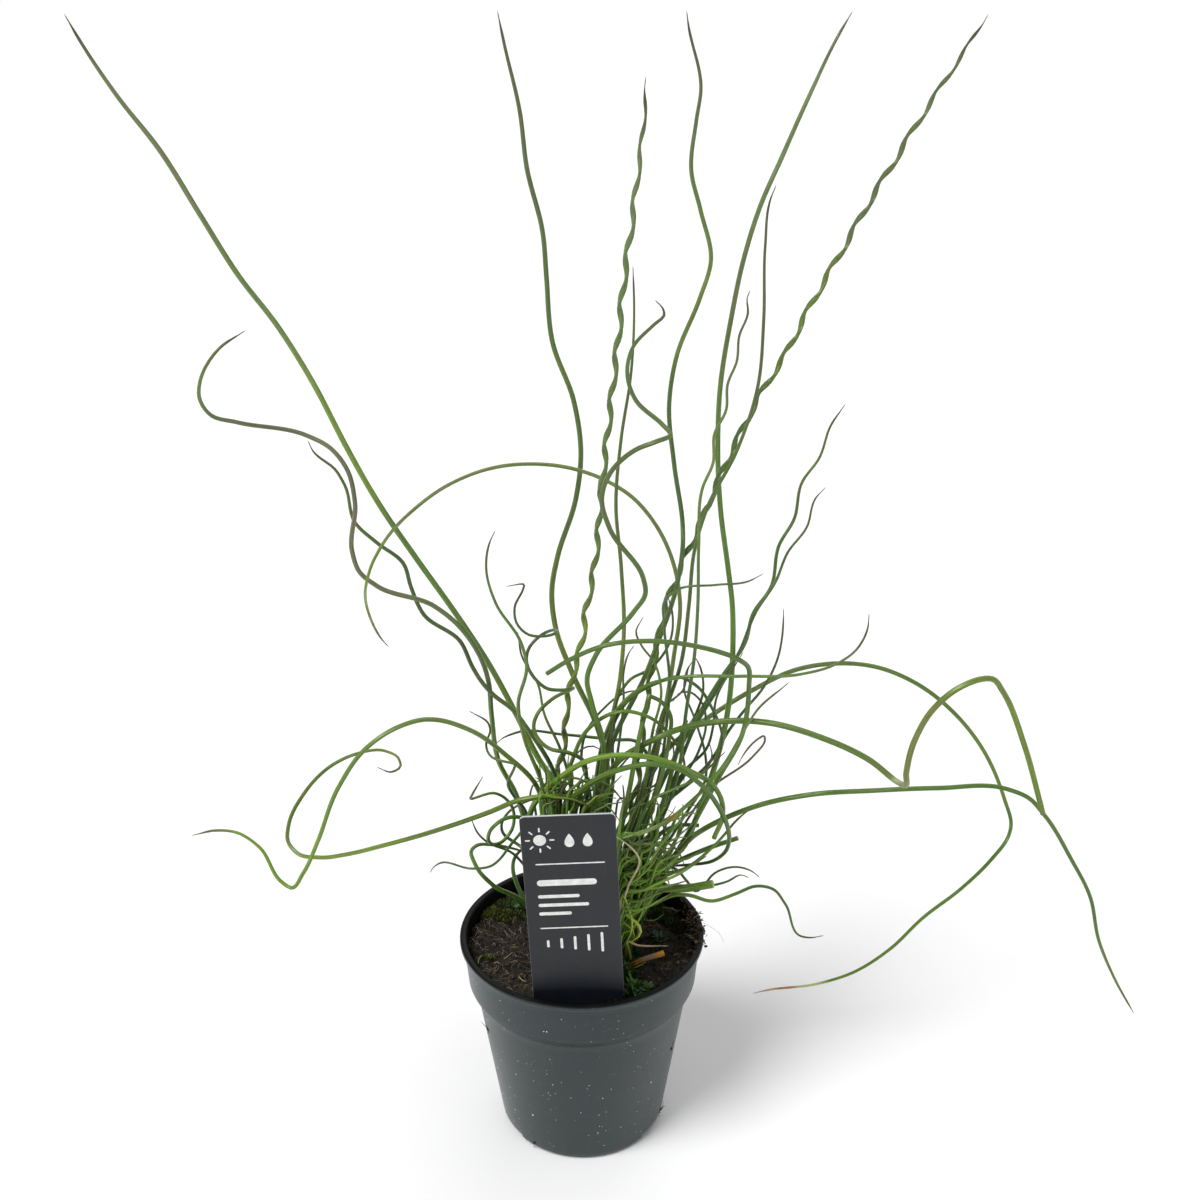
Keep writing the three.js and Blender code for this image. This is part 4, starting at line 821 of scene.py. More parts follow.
def pot_profile():
    """Radius and height from the floor's middle, up the outside and down the inside."""
    outside = [
        (0, 0), (FOOT_RADIUS - 0.5, 0), (FOOT_RADIUS, 0.1),
        (wall_radius(FOOT_CHAMFER) - 0.12, FOOT_CHAMFER - 0.25),
        (wall_radius(FOOT_CHAMFER), FOOT_CHAMFER + 0.2),
    ]
    outside += [(wall_radius(z), z) for z in np.linspace(4, BAND_BOTTOM - 0.3, 14)]
    outside += [
        (BODY_TOP_RADIUS + 0.1, BAND_BOTTOM), (BODY_TOP_RADIUS + 0.45, BAND_BOTTOM + 0.5),
        (band_radius(STEP_TOP) - 0.75, STEP_TOP - 1.0),
        (band_radius(STEP_TOP) - 0.25, STEP_TOP - 0.25),
        (band_radius(STEP_TOP + 0.6), STEP_TOP + 0.6),
    ]
    outside += [(band_radius(z), z) for z in np.linspace(64, LIP_BOTTOM - 0.9, 6)]
    outside += [
        (band_radius(LIP_BOTTOM) + 0.1, LIP_BOTTOM - 0.5), (LIP_RADIUS - 0.25, LIP_BOTTOM - 0.1),
        (LIP_RADIUS, LIP_BOTTOM + 0.2), (LIP_RADIUS, POT_HEIGHT - 0.5),
        (LIP_RADIUS - 0.15, POT_HEIGHT - 0.15), (LIP_RADIUS - 0.5, POT_HEIGHT),
    ]
    inside = [
        (inner_radius(POT_HEIGHT) + 0.35, POT_HEIGHT), (inner_radius(POT_HEIGHT), POT_HEIGHT - 0.35),
        (inner_radius(74), 74), (inner_radius(STEP_TOP), STEP_TOP),
        (BODY_TOP_RADIUS - WALL, BAND_BOTTOM),
        (wall_radius(WALL) - WALL, WALL), (0, WALL),
    ]
    return outside + inside


def lathe(profile, sides):
    """Turns a profile round the pot's axis."""
    corners, faces, rows = [], [], []
    for radius, z in profile:
        if radius == 0:
            corners.append((0, 0, z * MM))
            rows.append([len(corners) - 1] * sides)
            continue
        rows.append([])
        for k in range(sides):
            angle = 2 * math.pi * k / sides
            corners.append((radius * MM * math.cos(angle), radius * MM * math.sin(angle), z * MM))
            rows[-1].append(len(corners) - 1)
    for low, high in zip(rows, rows[1:]):
        for k in range(sides):
            n = (k + 1) % sides
            face = [low[k], low[n], high[n], high[k]]
            face = [c for i, c in enumerate(face) if c not in face[:i]]
            faces.append(face)
    return corners, faces


def carve(target, cutters):
    """Takes boxes out of a mesh and removes the boxes."""
    bpy.context.view_layer.objects.active = target
    for cutter in cutters:
        modifier = target.modifiers.new("carve", "BOOLEAN")
        modifier.operation = "DIFFERENCE"
        modifier.solver = "EXACT"
        modifier.object = cutter
        bpy.ops.object.modifier_apply(modifier=modifier.name)
        bpy.data.objects.remove(cutter)


def notch_boxes():
    """The boxes that cut the notches at the foot of the wall."""
    made = []
    for i in range(NOTCH_COUNT):
        mesh = bpy.data.meshes.new("notch")
        bm = bmesh.new()
        bmesh.ops.create_cube(bm, size=1)
        size = (2 * NOTCH_DEPTH * MM, NOTCH_WIDTH * MM, 2 * NOTCH_HEIGHT * MM)
        bmesh.ops.scale(bm, vec=size, verts=bm.verts)
        bmesh.ops.translate(bm, vec=(FOOT_RADIUS * MM, 0, 0), verts=bm.verts)
        turn = Matrix.Rotation((i + NOTCH_START) * 2 * math.pi / NOTCH_COUNT, 3, "Z")
        bmesh.ops.rotate(bm, matrix=turn, verts=bm.verts)
        bm.to_mesh(mesh)
        bm.free()
        box = bpy.data.objects.new("notch", mesh)
        scene.collection.objects.link(box)
        made.append(box)
    return made


def pot_material():
    sh = Shader("pot_plastic")
    place = sh.place()
    cloud = sh.noise(28, detail=5, roughness=0.6)
    grain = sh.noise(2600, detail=2)
    colour = sh.ramp(cloud, (0.3, linear("1a2627")), (0.7, linear("212e30")))
    rings = sh.noise(26, sh.stretched(place, (0.25, 0.25, 6)), detail=3)
    colour = sh.blend(sh.ramp(rings, (0.5, 0), (0.75, 0.3)), colour, linear("2a3738"))
    scuffs = sh.ramp(sh.noise(300, sh.stretched(place, (1, 1, 3)), detail=5), (0.64, 0), (0.82, 0.4))
    colour = sh.blend(scuffs, colour, linear("68737a"))
    dust = sh.math("GREATER_THAN", sh.noise(1500, detail=1), 0.8)
    colour = sh.blend(sh.math("MULTIPLY", dust, 0.45), colour, linear("a5aaa8"))
    # The inside, from the lip down, and the lip's top are dull and painted near black as shade, mottled
    # with peat brown.
    parts = sh.axes(place)
    across = sh.math("POWER", parts["X"], 2.0)
    along = sh.math("POWER", parts["Y"], 2.0)
    radius = sh.math("SQRT", sh.math("ADD", across, along))
    slope = (BAND_TOP_RADIUS - BAND_BOTTOM_RADIUS) / (POT_HEIGHT - BAND_BOTTOM)
    start = (BAND_BOTTOM_RADIUS - slope * BAND_BOTTOM - 0.5 * WALL) * MM
    middle = sh.math("MULTIPLY_ADD", parts["Z"], slope, start)
    inside = sh.math("LESS_THAN", radius, middle)
    inside = sh.math("MULTIPLY", inside, sh.math("GREATER_THAN", parts["Z"], STEP_TOP * MM))
    top = sh.math("GREATER_THAN", parts["Z"], (POT_HEIGHT - 0.3) * MM)
    inside = sh.math("MAXIMUM", inside, sh.math("MULTIPLY", top, 0.9))
    inside_shade_and_peat = sh.ramp(sh.noise(240, detail=6), (0.45, linear("060707")), (0.75, linear("181410")))
    colour = sh.blend(inside, colour, inside_shade_and_peat)
    # The step under the band is painted dark, as shade under the band's edge. A ramp goes from 0 to 1, so
    # heights are taken ten times.
    scaled = sh.math("MULTIPLY", parts["Z"], 10.0)
    step = sh.ramp(scaled, (0.583, 0), (0.595, 1), (0.619, 1), (0.632, 0))
    colour = sh.blend(sh.math("MULTIPLY", step, 0.5), colour, linear("0a0e0f"))
    outer = sh.math("SUBTRACT", 1.0, sh.math("MAXIMUM", inside, sh.math("MULTIPLY", step, 0.8)))
    sh.set(Base_Color=colour, Roughness=sh.ramp(cloud, (0.3, 0.36), (0.7, 0.48)))
    sh.set(Specular_IOR_Level=sh.math("MULTIPLY_ADD", outer, 0.3, 0.08))
    sh.set(Sheen_Weight=sh.math("MULTIPLY", outer, 0.13), Sheen_Roughness=0.45)
    rough = sh.bump(grain, 0.12, 0.05 * MM)
    waves = sh.noise(60, sh.stretched(place, (1, 1, 0.15)))
    sh.set(Normal=sh.bump(waves, 0.15, 0.25 * MM, rough))
    return sh.material


# ---- soil ----------------------------------------------------------------------------

# The CAD soil's numbers.
SOIL_EDGE = 71.5
SOIL_CROWN = 1.8
SOIL_LUMP = 0.55
# The lumpy surface over it, and how far out litter lies on it.
SURFACE_RADIUS = 42.35
SURFACE_PITCH = 0.4
LITTER_RADIUS = 42.0
# Heaps of soil: (height, x, y, reach along x, reach along y).
HEAPS = ((1.6, 27, -2, 9, 12), (1.1, -29, 6, 9, 9))


def soil_height(x, y):
    """The CAD soil's surface, in millimetres."""
    spread = (x * x + y * y) / LIP_RADIUS**2
    lumps = math.sin(0.31 * x + 0.4) * math.cos(0.27 * y - 0.9) + math.sin(0.53 * (x + y))
    return SOIL_EDGE + SOIL_CROWN * (1 - spread) + SOIL_LUMP * lumps


def soil_detail(x, y):
    """Crumbs and hollows on the soil, in millimetres above soil_height."""
    p = Vector((x, y, 0))
    coarse = noise.fractal(p * 0.13, 0.9, 2.1, 4)
    crumb = 1 - noise.voronoi(p * 0.42)[0][0]
    fine = 1 - noise.voronoi(p * 1.1 + Vector((7, 3, 1)))[0][0]
    grit = noise.fractal(p * 1.7, 0.7, 2.2, 3)
    height = 1.1 * coarse + 0.95 * crumb + 0.55 * fine + 0.4 * grit
    for rise, east, north, wide, deep in HEAPS:
        height += rise * math.exp(-(((x - east) / wide) ** 2 + ((y - north) / deep) ** 2))
    # The soil is banked up against the pot, most at the left and right.
    side = 0.5 - 0.5 * math.cos(2 * math.atan2(y, x) + 0.5)
    bank = 2.6 * (1 - 0.6 * side) * float(smooth(33, 42, math.hypot(x, y)))
    return height + bank - 0.55


def ground(x, y):
    return soil_height(x, y) + soil_detail(x, y)


def on_soil(across, down, lift=0.0):
    """The spot of the soil, in millimetres, that shows there in the camera's frame."""
    ray = sight(across, down)
    z = SOIL_EDGE + 2
    for _ in range(8):
        spot = EYE_MM + ray * (z + lift - EYE_MM[2]) / ray[2]
        z = ground(spot[0], spot[1])
    return np.array([spot[0], spot[1], z + lift])


# How far from the camera the pot's wall may be: from, to and step.
WALL_REACHES = (380.0, 600.0, 0.2)


def on_wall(across, down):
    """The pot wall's spot nearest to that line of sight, in millimetres, and its outward side."""
    ray = sight(across, down)
    least = math.inf
    for reach in np.arange(*WALL_REACHES):
        place = EYE_MM + ray * reach
        radius = band_radius(place[2]) if place[2] > BAND_BOTTOM + 2 else wall_radius(place[2])
        gap = math.hypot(place[0], place[1]) - radius
        if gap < least:
            least = gap
            spot = place
        if gap < 0:
            break
    outward = np.array([spot[0], spot[1], 0]) / math.hypot(spot[0], spot[1])
    return spot - outward * least, outward


def soil_surface(material):
    """A round grid of squares over the CAD soil."""
    steps = int(SURFACE_RADIUS / SURFACE_PITCH)
    index, corners = {}, []
    for i in range(-steps, steps + 1):
        for k in range(-steps, steps + 1):
            x, y = i * SURFACE_PITCH, k * SURFACE_PITCH
            far = math.hypot(x, y)
            if far > SURFACE_RADIUS:
                continue
            index[i, k] = len(corners)
            rim = 1 - 0.4 * smooth(SURFACE_RADIUS - 2.5, SURFACE_RADIUS, far)
            corners.append((x * MM, y * MM, (soil_height(x, y) + soil_detail(x, y) * rim) * MM))
    faces = []
    for i, k in index:
        quad = [index.get(c) for c in ((i, k), (i + 1, k), (i + 1, k + 1), (i, k + 1))]
        if None not in quad:
            faces.append(quad)
    piece("soil_surface", corners, faces, material, "peat")


def soil_material():
    sh = Shader("peat")
    broad = sh.noise(110, detail=6, roughness=0.65)
    fine = sh.noise(1500, detail=5, roughness=0.7)
    fibres = sh.noise(700, sh.stretched(sh.place(), (1, 0.16, 1)), detail=4)
    crossing = sh.noise(800, sh.stretched(sh.place(), (0.2, 1, 1)), detail=4)
    crumbs = sh.cells(900)
    dark, mid, light = linear("22201d"), linear("3f3a33"), linear("746a5c")
    tone = sh.math("MULTIPLY", broad, sh.math("ADD", fine, 0.5))
    colour = sh.ramp(tone, (0.25, dark), (0.55, mid), (0.85, light))
    colour = sh.blend(sh.ramp(fibres, (0.6, 0), (0.75, 0.45)), colour, linear("7a6f60"))
    colour = sh.blend(sh.ramp(crossing, (0.62, 0), (0.75, 0.4)), colour, linear("6c6252"))
    colour = sh.blend(sh.ramp(crumbs, (0.0, 0.0), (0.55, 0.6)), colour, linear("0b0908"))
    sh.set(Base_Color=colour, Roughness=0.93, Specular_IOR_Level=0.2)
    sh.set(Normal=sh.bump(sh.math("ADD", fine, fibres), 0.9, 0.7 * MM))
    return sh.material


# ---- soil: crumbs, fibres, moss, roots and shoots ------------------------------------


class Litter:
    """Many small things gathered in one mesh, in millimetres, with a colour a corner."""

    def __init__(self):
        self.corners, self.faces, self.tones = [], [], []

    def strand(self, path, radii, tones, sides):
        """A thin tube along a path, closed at both ends."""
        path = np.asarray(path, float)
        along = np.gradient(path, axis=0)
        along /= np.linalg.norm(along, axis=1)[:, None] + 1e-9
        start = len(self.corners)
        side = np.cross(along[0], (0.3, 0.2, 0.93))
        for k, middle in enumerate(path):
            side = side - along[k] * (side @ along[k])
            side /= np.linalg.norm(side) + 1e-9
            over = np.cross(along[k], side)
            for n in range(sides):
                angle = 2 * math.pi * n / sides
                arm = side * math.cos(angle) + over * math.sin(angle)
                self.corners.append(middle + arm * radii[k])
                self.tones.append(tones[k])
        count = len(path)
        for k in range(count - 1):
            for n in range(sides):
                a, b = start + k * sides + n, start + k * sides + (n + 1) % sides
                self.faces.append((a, b, b + sides, a + sides))
        self.faces.append(tuple(start + n for n in range(sides))[::-1])
        self.faces.append(tuple(start + (count - 1) * sides + n for n in range(sides)))

    def lump(self, middle, size, tone, outward=(0, 0, 1), flat=0.7):
        """An uneven crumb."""
        start = len(self.corners)
        stretch = np.array([rng.uniform(0.7, 1.3) for _ in range(3)])
        outward = np.asarray(outward, float)
        for corner in BALL_CORNERS:
            rough = 1 + 0.35 * rng.uniform(-1, 1)
            arm = corner * stretch * rough * size
            arm = arm - outward * (arm @ outward) * (1 - flat)
            self.corners.append(np.asarray(middle) + arm)
            self.tones.append(tone * rng.uniform(0.8, 1.2))
        self.faces += [tuple(start + c for c in face) for face in BALL_FACES]

    def leaf(self, foot, aim, length, width, tone):
        """A small pointed leaf, folded along its middle."""
        aim = np.asarray(aim, float) / np.linalg.norm(aim)
        side = np.cross(aim, (0.13, 0.37, 0.92))
        side /= np.linalg.norm(side) + 1e-9
        fold = np.cross(side, aim)
        start = len(self.corners)
        foot = np.asarray(foot, float)
        self.corners += [
            foot,
            foot + aim * length * 0.45 + side * width + fold * width * 0.4,
            foot + aim * length * 0.5 - fold * width * 0.3,
            foot + aim * length * 0.45 - side * width + fold * width * 0.4,
            foot + aim * length + fold * length * 0.15,
        ]
        self.tones += [tone * 0.6, tone, tone * 0.85, tone, tone * 1.25]
        a = start
        self.faces += [(a, a + 1, a + 2), (a, a + 2, a + 3), (a + 1, a + 4, a + 2), (a + 2, a + 4, a + 3)]

    def made(self, name, material, slot):
        whole = piece(name, np.array(self.corners) * MM, self.faces, material, slot)
        paint(whole, np.clip(self.tones, 0, 1))


def ball():
    bm = bmesh.new()
    bmesh.ops.create_icosphere(bm, subdivisions=1, radius=1)
    corners = np.array([v.co[:] for v in bm.verts])
    faces = [tuple(v.index for v in f.verts) for f in bm.faces]
    bm.free()
    return corners, faces


BALL_CORNERS, BALL_FACES = ball()


def painted_material(name, roughness, grain, specular=0.3):
    """Takes its colour from the corners and adds a mottled grain."""
    sh = Shader(name)
    tone = sh.written("tone", "Color")
    fine = sh.noise(grain, detail=4, roughness=0.65)
    colour = sh.blend(0.6, tone, sh.ramp(fine, (0.3, 0.45), (0.7, 1.0)), "MULTIPLY")
    dull, keen = roughness - 0.06, roughness + 0.06
    sh.set(Base_Color=colour, Roughness=sh.ramp(fine, (0.3, dull), (0.7, keen)))
    sh.set(Normal=sh.bump(fine, 0.4, 0.1 * MM), Specular_IOR_Level=specular)
    return sh.material


def in_pot(limit):
    """A spot of the soil, evenly likely anywhere within that radius."""
    radius = math.sqrt(rng.uniform(0, limit * limit))
    angle = rng.uniform(0, 2 * math.pi)
    return radius * math.cos(angle), radius * math.sin(angle)


def any_way():
    """A heading, anywhere in a turn."""
    return rng.uniform(0, 6.28)


def round_about(x, y, reach):
    """A spot within reach of x and y, with how far off and which way it is."""
    off = reach * math.sqrt(rng.random())
    angle = any_way()
    return x + off * math.cos(angle), y + off * math.sin(angle), off, angle


def fibrous(x):
    """How fibrous the soil is: most at the left, little at the right."""
    return 0.25 + 0.75 * (1 - float(smooth(-20, 12, x)))


STRAWS = ("877b66", "988b74", "6a5c4a", "54473a", "b0a58e", "463b30")
CRUMB_TONES = ("1b1511", "2a211a", "3a2d22", "120e0c", "4a3a2b")
SPILL_TONES = ("3a2c1f", "54402c", "2a2018", "6b5438")
DIRT_TONES = ("2a221b", "15110e", "3c3024")
GRIT_TONES = ("dfe5e3", "bcc4c4", "a0aaaa", "f2f5f3")
FIBRE_COUNT = 1500
CRUMB_COUNT = 1500
SPILL_CRUMBS = 190
SPILL_FIBRES = 110
SPECK_COUNT = 420
# The spill over the rim at the right: its heading in degrees, its radii and heights, and the
# farthest that its crumbs and its fibres reach.
SPILL_HEADING = 4
SPILL_RADIUS, SPILL_HEIGHT, SPILL_LIMIT = 42.8, 78.4, 45.8
STRAY_RADIUS, STRAY_HEIGHT, STRAY_LIMIT = 42.6, 78.6, 46.0


def random_tone(tones, least, most):
    """One of the hex colours, darker or lighter by a random share."""
    return linear(rng.choice(tones)) * rng.uniform(least, most)


def ground_path(x, y, heading, length, bend, lift):
    """A curved path on the soil that rises by lift in its middle."""
    steps = 6
    path = []
    for k in range(steps + 1):
        rise = lift * math.sin(math.pi * (k / steps))
        path.append((x, y, ground(x, y) + rise))
        x += math.cos(heading) * length / steps
        y += math.sin(heading) * length / steps
        heading += bend / steps
    return [spot for spot in path if math.hypot(spot[0], spot[1]) < LITTER_RADIUS]


def soil_fibres():
    litter = Litter()
    wanted = FIBRE_COUNT
    while wanted > 0:
        x, y = in_pot(LITTER_RADIUS - 0.5)
        if rng.random() > fibrous(x):
            continue
        wanted -= 1
        length = rng.uniform(1.2, 5.5)
        bend = rng.uniform(-2.2, 2.2)
        path = ground_path(x, y, any_way(), length, bend, rng.uniform(-0.1, 0.9))
        if len(path) < 4:
            continue
        thick = rng.uniform(0.05, 0.13)
        tone = random_tone(STRAWS, 0.35, 1.0)
        middles = [(k + 0.5) / len(path) for k in range(len(path))]
        radii = [thick * (0.5 + math.sin(math.pi * share) * 0.5) for share in middles]
        litter.strand(path, radii, [tone] * len(path), 4)
    return litter


def soil_crumbs():
    """Crumbs on the soil, and the spill of crumbs and fibres over the rim at the right."""
    litter = Litter()
    for _ in range(CRUMB_COUNT):
        x, y = in_pot(LITTER_RADIUS)
        size = rng.uniform(0.18, 0.5) + 0.6 * rng.random() ** 6
        tone = random_tone(CRUMB_TONES, 0.9, 2.2)
        litter.lump((x, y, ground(x, y) + 0.15 * size), size, tone)
    for _ in range(SPILL_CRUMBS):
        angle = math.radians(rng.gauss(SPILL_HEADING, 9))
        radius = rng.gauss(SPILL_RADIUS, 1.3)
        height = SPILL_HEIGHT + rng.gauss(1.3, 1.3) - 0.9 * abs(radius - SPILL_RADIUS)
        radius = min(radius, SPILL_LIMIT)
        if radius > LIP_RADIUS - 0.4:
            height = min(height, POT_HEIGHT - 0.4)
        tone = random_tone(SPILL_TONES, 0.7, 1.2)
        place = (radius * math.cos(angle), radius * math.sin(angle), height)
        litter.lump(place, rng.uniform(0.25, 0.75), tone, flat=0.9)
    radii = (0.09, 0.12, 0.12, 0.11, 0.09, 0.05)
    steps = len(radii) - 1
    for _ in range(SPILL_FIBRES):
        angle = math.radians(rng.gauss(SPILL_HEADING, 8))
        radius = rng.gauss(STRAY_RADIUS, 1.2)
        x, y = radius * math.cos(angle), radius * math.sin(angle)
        z = STRAY_HEIGHT + rng.gauss(1.4, 1.2)
        heading, tilt = any_way(), rng.uniform(-0.7, 0.7)
        length = rng.uniform(1.0, 3.2)
        path = []
        for _ in radii:
            path.append((min(x, STRAY_LIMIT), y, z))
            x += math.cos(heading) * length / steps
            y += math.sin(heading) * length / steps
            z += tilt * length / steps
            heading += rng.uniform(-0.5, 0.5)
        litter.strand(path, radii, [random_tone(STRAWS, 0.5, 1.0)] * len(path), 4)
    return litter


# Moss: (across, down, reach in mm, leaves, hex), a cushion on the soil that shows at that spot
# of the camera's frame.
MOSSES = (
    (490, 914, 4.6, 480, "565e22"), (508, 906, 4.2, 420, "46582a"), (504, 920, 3.4, 240, "545c2a"),
    (472, 916, 5.0, 260, "4c5028"), (497, 897, 5.5, 340, "464e2a"), (517, 916, 4.5, 200, "4c542c"),
    (481, 908, 3.2, 220, "4c5526"), (519, 902, 3.0, 200, "3f6a2e"), (478, 962, 1.0, 30, "6a6f4a"),
    (668, 915, 3.6, 160, "4d5434"), (680, 928, 3.2, 110, "41432c"), (669, 924, 1.7, 60, "3f6b2e"),
    (630, 951, 2.8, 190, "35663a"), (636, 958, 1.8, 90, "2c5a34"), (634, 992, 2.8, 190, "3a6a3c"),
    (643, 996, 2.4, 140, "416b44"), (548, 903, 3.0, 90, "40562a"), (690, 908, 2.4, 70, "454a30"),
)
# Moss that the label and the stems hide from the front: (x, y, reach in mm, leaves, hex).
BACK_MOSSES = (
    (-22, 24, 4.5, 320, "4a5c1e"), (8, 33, 5.0, 340, "55641f"), (29, 20, 3.4, 180, "3d5424"),
    (-6, -24, 3.0, 140, "44592a"), (-34, -8, 2.2, 90, "5a6526"),
)


def moss():
    """Cushions of tiny upright leaves."""
    litter = Litter()
    spots = []
    for across, down, reach, leaves, tone in MOSSES:
        spot = on_soil(across, down)
        spots.append((spot[0], spot[1], reach, leaves, tone))
    for x, y, reach, leaves, tone in spots + list(BACK_MOSSES):
        base = linear(tone)
        for _ in range(leaves):
            u, v, off, angle = round_about(x, y, reach)
            if math.hypot(u, v) > LITTER_RADIUS:
                continue
            rise = 0.9 * math.sqrt(max(0.0, 1 - (off / reach) ** 2)) * min(1.0, reach / 3)
            foot = (u, v, ground(u, v) + rise - 0.3)
            aim = (
                rng.gauss(0, 0.6) + 0.4 * math.cos(angle),
                rng.gauss(0, 0.6) + 0.4 * math.sin(angle),
                1,
            )
            length = rng.uniform(0.8, 1.9)
            litter.leaf(foot, aim, length, rng.uniform(0.2, 0.36), base * rng.uniform(0.55, 1.7))
    return litter


# Low leafy weeds: (x, y, reach, height in mm, leaves, hex).
WEEDS = (
    (15.5, -19, 3.6, 5.5, 60, "466b33"), (18.5, -27.5, 3.4, 4.0, 54, "53753c"),
    (23, -27, 2.6, 2.4, 36, "57743e"), (17, -13, 2.6, 4.5, 30, "3d6132"),
    (28, 2, 2.6, 2.0, 26, "3f5c3a"), (-26, 22, 3.0, 2.5, 40, "4a6034"),
)


def weeds():
    """Low clumps of leaves on short stalks."""
    litter = Litter()
    for x, y, reach, height, leaves, tone in WEEDS:
        base = linear(tone)
        for _ in range(leaves):
            u, v, off, angle = round_about(x, y, reach)
            rise = height * rng.random() * (1 - 0.6 * (off / reach) ** 2)
            foot = (u, v, ground(u, v) + rise)
            aim = (
                math.cos(angle) + rng.gauss(0, 0.5),
                math.sin(angle) + rng.gauss(0, 0.5),
                rng.uniform(0.1, 0.9),
            )
            length = rng.uniform(1.8, 3.2)
            litter.leaf(foot, aim, length, rng.uniform(0.55, 0.9), base * rng.uniform(0.6, 1.6))
            stalk = [(x + 0.4 * (u - x), y + 0.4 * (v - y), ground(x, y) - 0.5), foot]
            litter.strand(stalk, [0.16, 0.12], [base * 0.6] * 2, 4)
    return litter


# Roots, straws and small shoots on the soil: thickness in mm at the start and the end, the colours
# there, and the spots each passes, as (across, down, lift above the soil in mm).
SPROUTS = (
    (0.3, 0.2, "a05a26", "7a4420", (641, 927, 0.7), (650, 926, 0.9), (661, 925, 0.4)),
    (0.7, 0.3, "4c7a2e", "6f8f4a", (631, 919, -0.5), (632, 915, 1.5), (645, 920, 2.2), (655, 920, 2.2),
     (664, 914, 1.5)),
    (0.45, 0.2, "7d8a5c", "9aa078", (660, 911, -0.5), (662, 908, 1), (671, 909, 1.8), (678, 911, 1.6),
     (683, 906, 1.2)),
    (0.6, 0.35, "a3c24a", "c2cf5c", (621, 926, -0.5), (621, 917, 3), (632, 922, 4), (639, 930, 4),
     (637, 938, 3), (629, 941, 2), (626, 947, -0.5)),
    (0.7, 0.4, "b3bf40", "95ab3a", (622, 914, -0.5), (622, 900, 5), (627, 915, 4.5), (629, 930, 3),
     (627, 940, 1.5)),
    (0.7, 0.3, "9db33c", "86a03c", (624, 974, 0.6), (632, 970, 1.1), (641, 965, 1.3), (648, 960, 0.8)),
    (1.3, 0.9, "5f9a3c", "7cb050", (624, 970, -0.5), (624, 962, 2.5), (629, 975, 2.2), (633, 988, 1.6),
     (637, 998, 0.8)),
    (0.9, 0.4, "5b8c34", "7ba345", (623, 912, -0.5), (623, 895, 6), (637, 897, 8), (652, 893, 9),
     (668, 884, 9)),
    (0.8, 0.3, "6d9a3c", "86a848", (622, 923, -0.5), (622, 912, 4), (637, 909, 6), (650, 902, 8),
     (664, 890, 10)),
    (1.0, 0.4, "4a7d2c", "6d9340", (624, 906, -0.5), (624, 884, 8), (640, 886, 10), (657, 880, 11),
     (676, 866, 12)),
    (0.8, 0.4, "5a8a30", "6a9440", (626, 936, -0.5), (626, 930, 2), (634, 912, 4), (641, 898, 6),
     (650, 888, 7)),
    (0.8, 0.4, "64742e", "7b8a3e", (624, 899, -0.5), (624, 872, 10), (634, 866, 12), (648, 858, 14),
     (660, 846, 15)),
    (0.3, 0.2, "9a9468", "b0a67c", (505, 890, 1.4), (512, 886, 1.8)),
    (0.4, 0.2, "b09a70", "c7b48a", (519, 977, 0.8), (523, 980, 1.2), (527, 982, 0.7)),
    (0.32, 0.2, "a39678", "c0b590", (504, 959, 0.9), (508, 956, 1.3), (512, 952, 0.9)),
    (0.5, 0.3, "8d8a66", "a3a07c", (478, 964, 0.8), (479, 959, 1.1), (482, 956, 0.8)),
    (0.12, 0.08, "5a4a3a", "4a3a2c", (703, 921, 6.5), (709, 926, 5.5), (717, 931, 4.5), (721, 936, 3.5),
     (724, 943, 2.5)),
)


def sprouts():
    """The roots, straws and small shoots of the list above."""
    litter = Litter()
    for thick, thin, low, high, *spots in SPROUTS:
        path = through([on_soil(*spot) for spot in spots], POINTS_A_SPOT * len(spots))
        share = np.linspace(0, 1, len(path))[:, None]
        tones = mix(linear(low), linear(high), share)
        radii = thick / 2 + (thin - thick) / 2 * share[:, 0]
        radii[-1] *= 0.4
        litter.strand(path, radii, tones, 8)
    return litter


# Peat and roots that cling to the pot's outside, round spots of the camera's frame: (across,
# down, crumbs, reach in mm).
CLINGING = ((488, 1029, 12, 1.6), (671, 1049, 8, 1.0), (660, 1110, 16, 2.0), (535, 1143, 8, 1.2))


def wall_dirt():
    """Crumbs and bits of root on the pot's outside."""
    litter = Litter()
    for across, down, crumbs, reach in CLINGING:
        spot, outward = on_wall(across, down)
        for _ in range(crumbs):
            off = np.array([rng.gauss(0, 0.3), rng.gauss(0, 0.3), rng.gauss(0, 0.6)]) * reach
            off -= outward * (off @ outward)
            tone = linear(rng.choice(DIRT_TONES))
            litter.lump(spot + off + outward * 0.05, rng.uniform(0.12, 0.4), tone, outward)
        for _ in range(max(2, crumbs // 4)):
            heading = np.array([rng.gauss(0, 1), rng.gauss(0, 1), rng.gauss(0, 1)])
            heading -= outward * (heading @ outward) * 0.7
            heading /= np.linalg.norm(heading)
            path = [spot + outward * 0.1]
            for _ in range(5):
                heading += np.array([rng.gauss(0, 0.25) for _ in range(3)])
                path.append(path[-1] + heading * rng.uniform(0.4, 0.9))
            radii = (0.15, 0.14, 0.13, 0.11, 0.08, 0.05)
            litter.strand(path, radii, [linear("1d1813")] * len(path), 4)
    return litter


def wall_specks():
    """Pale grit thrown on the pot."""
    litter = Litter()
    for _ in range(SPECK_COUNT):
        z = 4 + 72 * rng.random() ** 1.25
        angle = rng.uniform(0, 2 * math.pi)
        radius = band_radius(z) if z > STEP_TOP else wall_radius(z)
        if BAND_BOTTOM - 0.5 < z < STEP_TOP + 0.5:
            continue
        outward = np.array([math.cos(angle), math.sin(angle), 0])
        tone = linear(rng.choice(GRIT_TONES))
        size = rng.uniform(0.08, 0.2) + 0.2 * rng.random() ** 6
        place = outward * radius + np.array([0, 0, z])
        litter.lump(place, size, tone, outward, 0.45)
    return litter


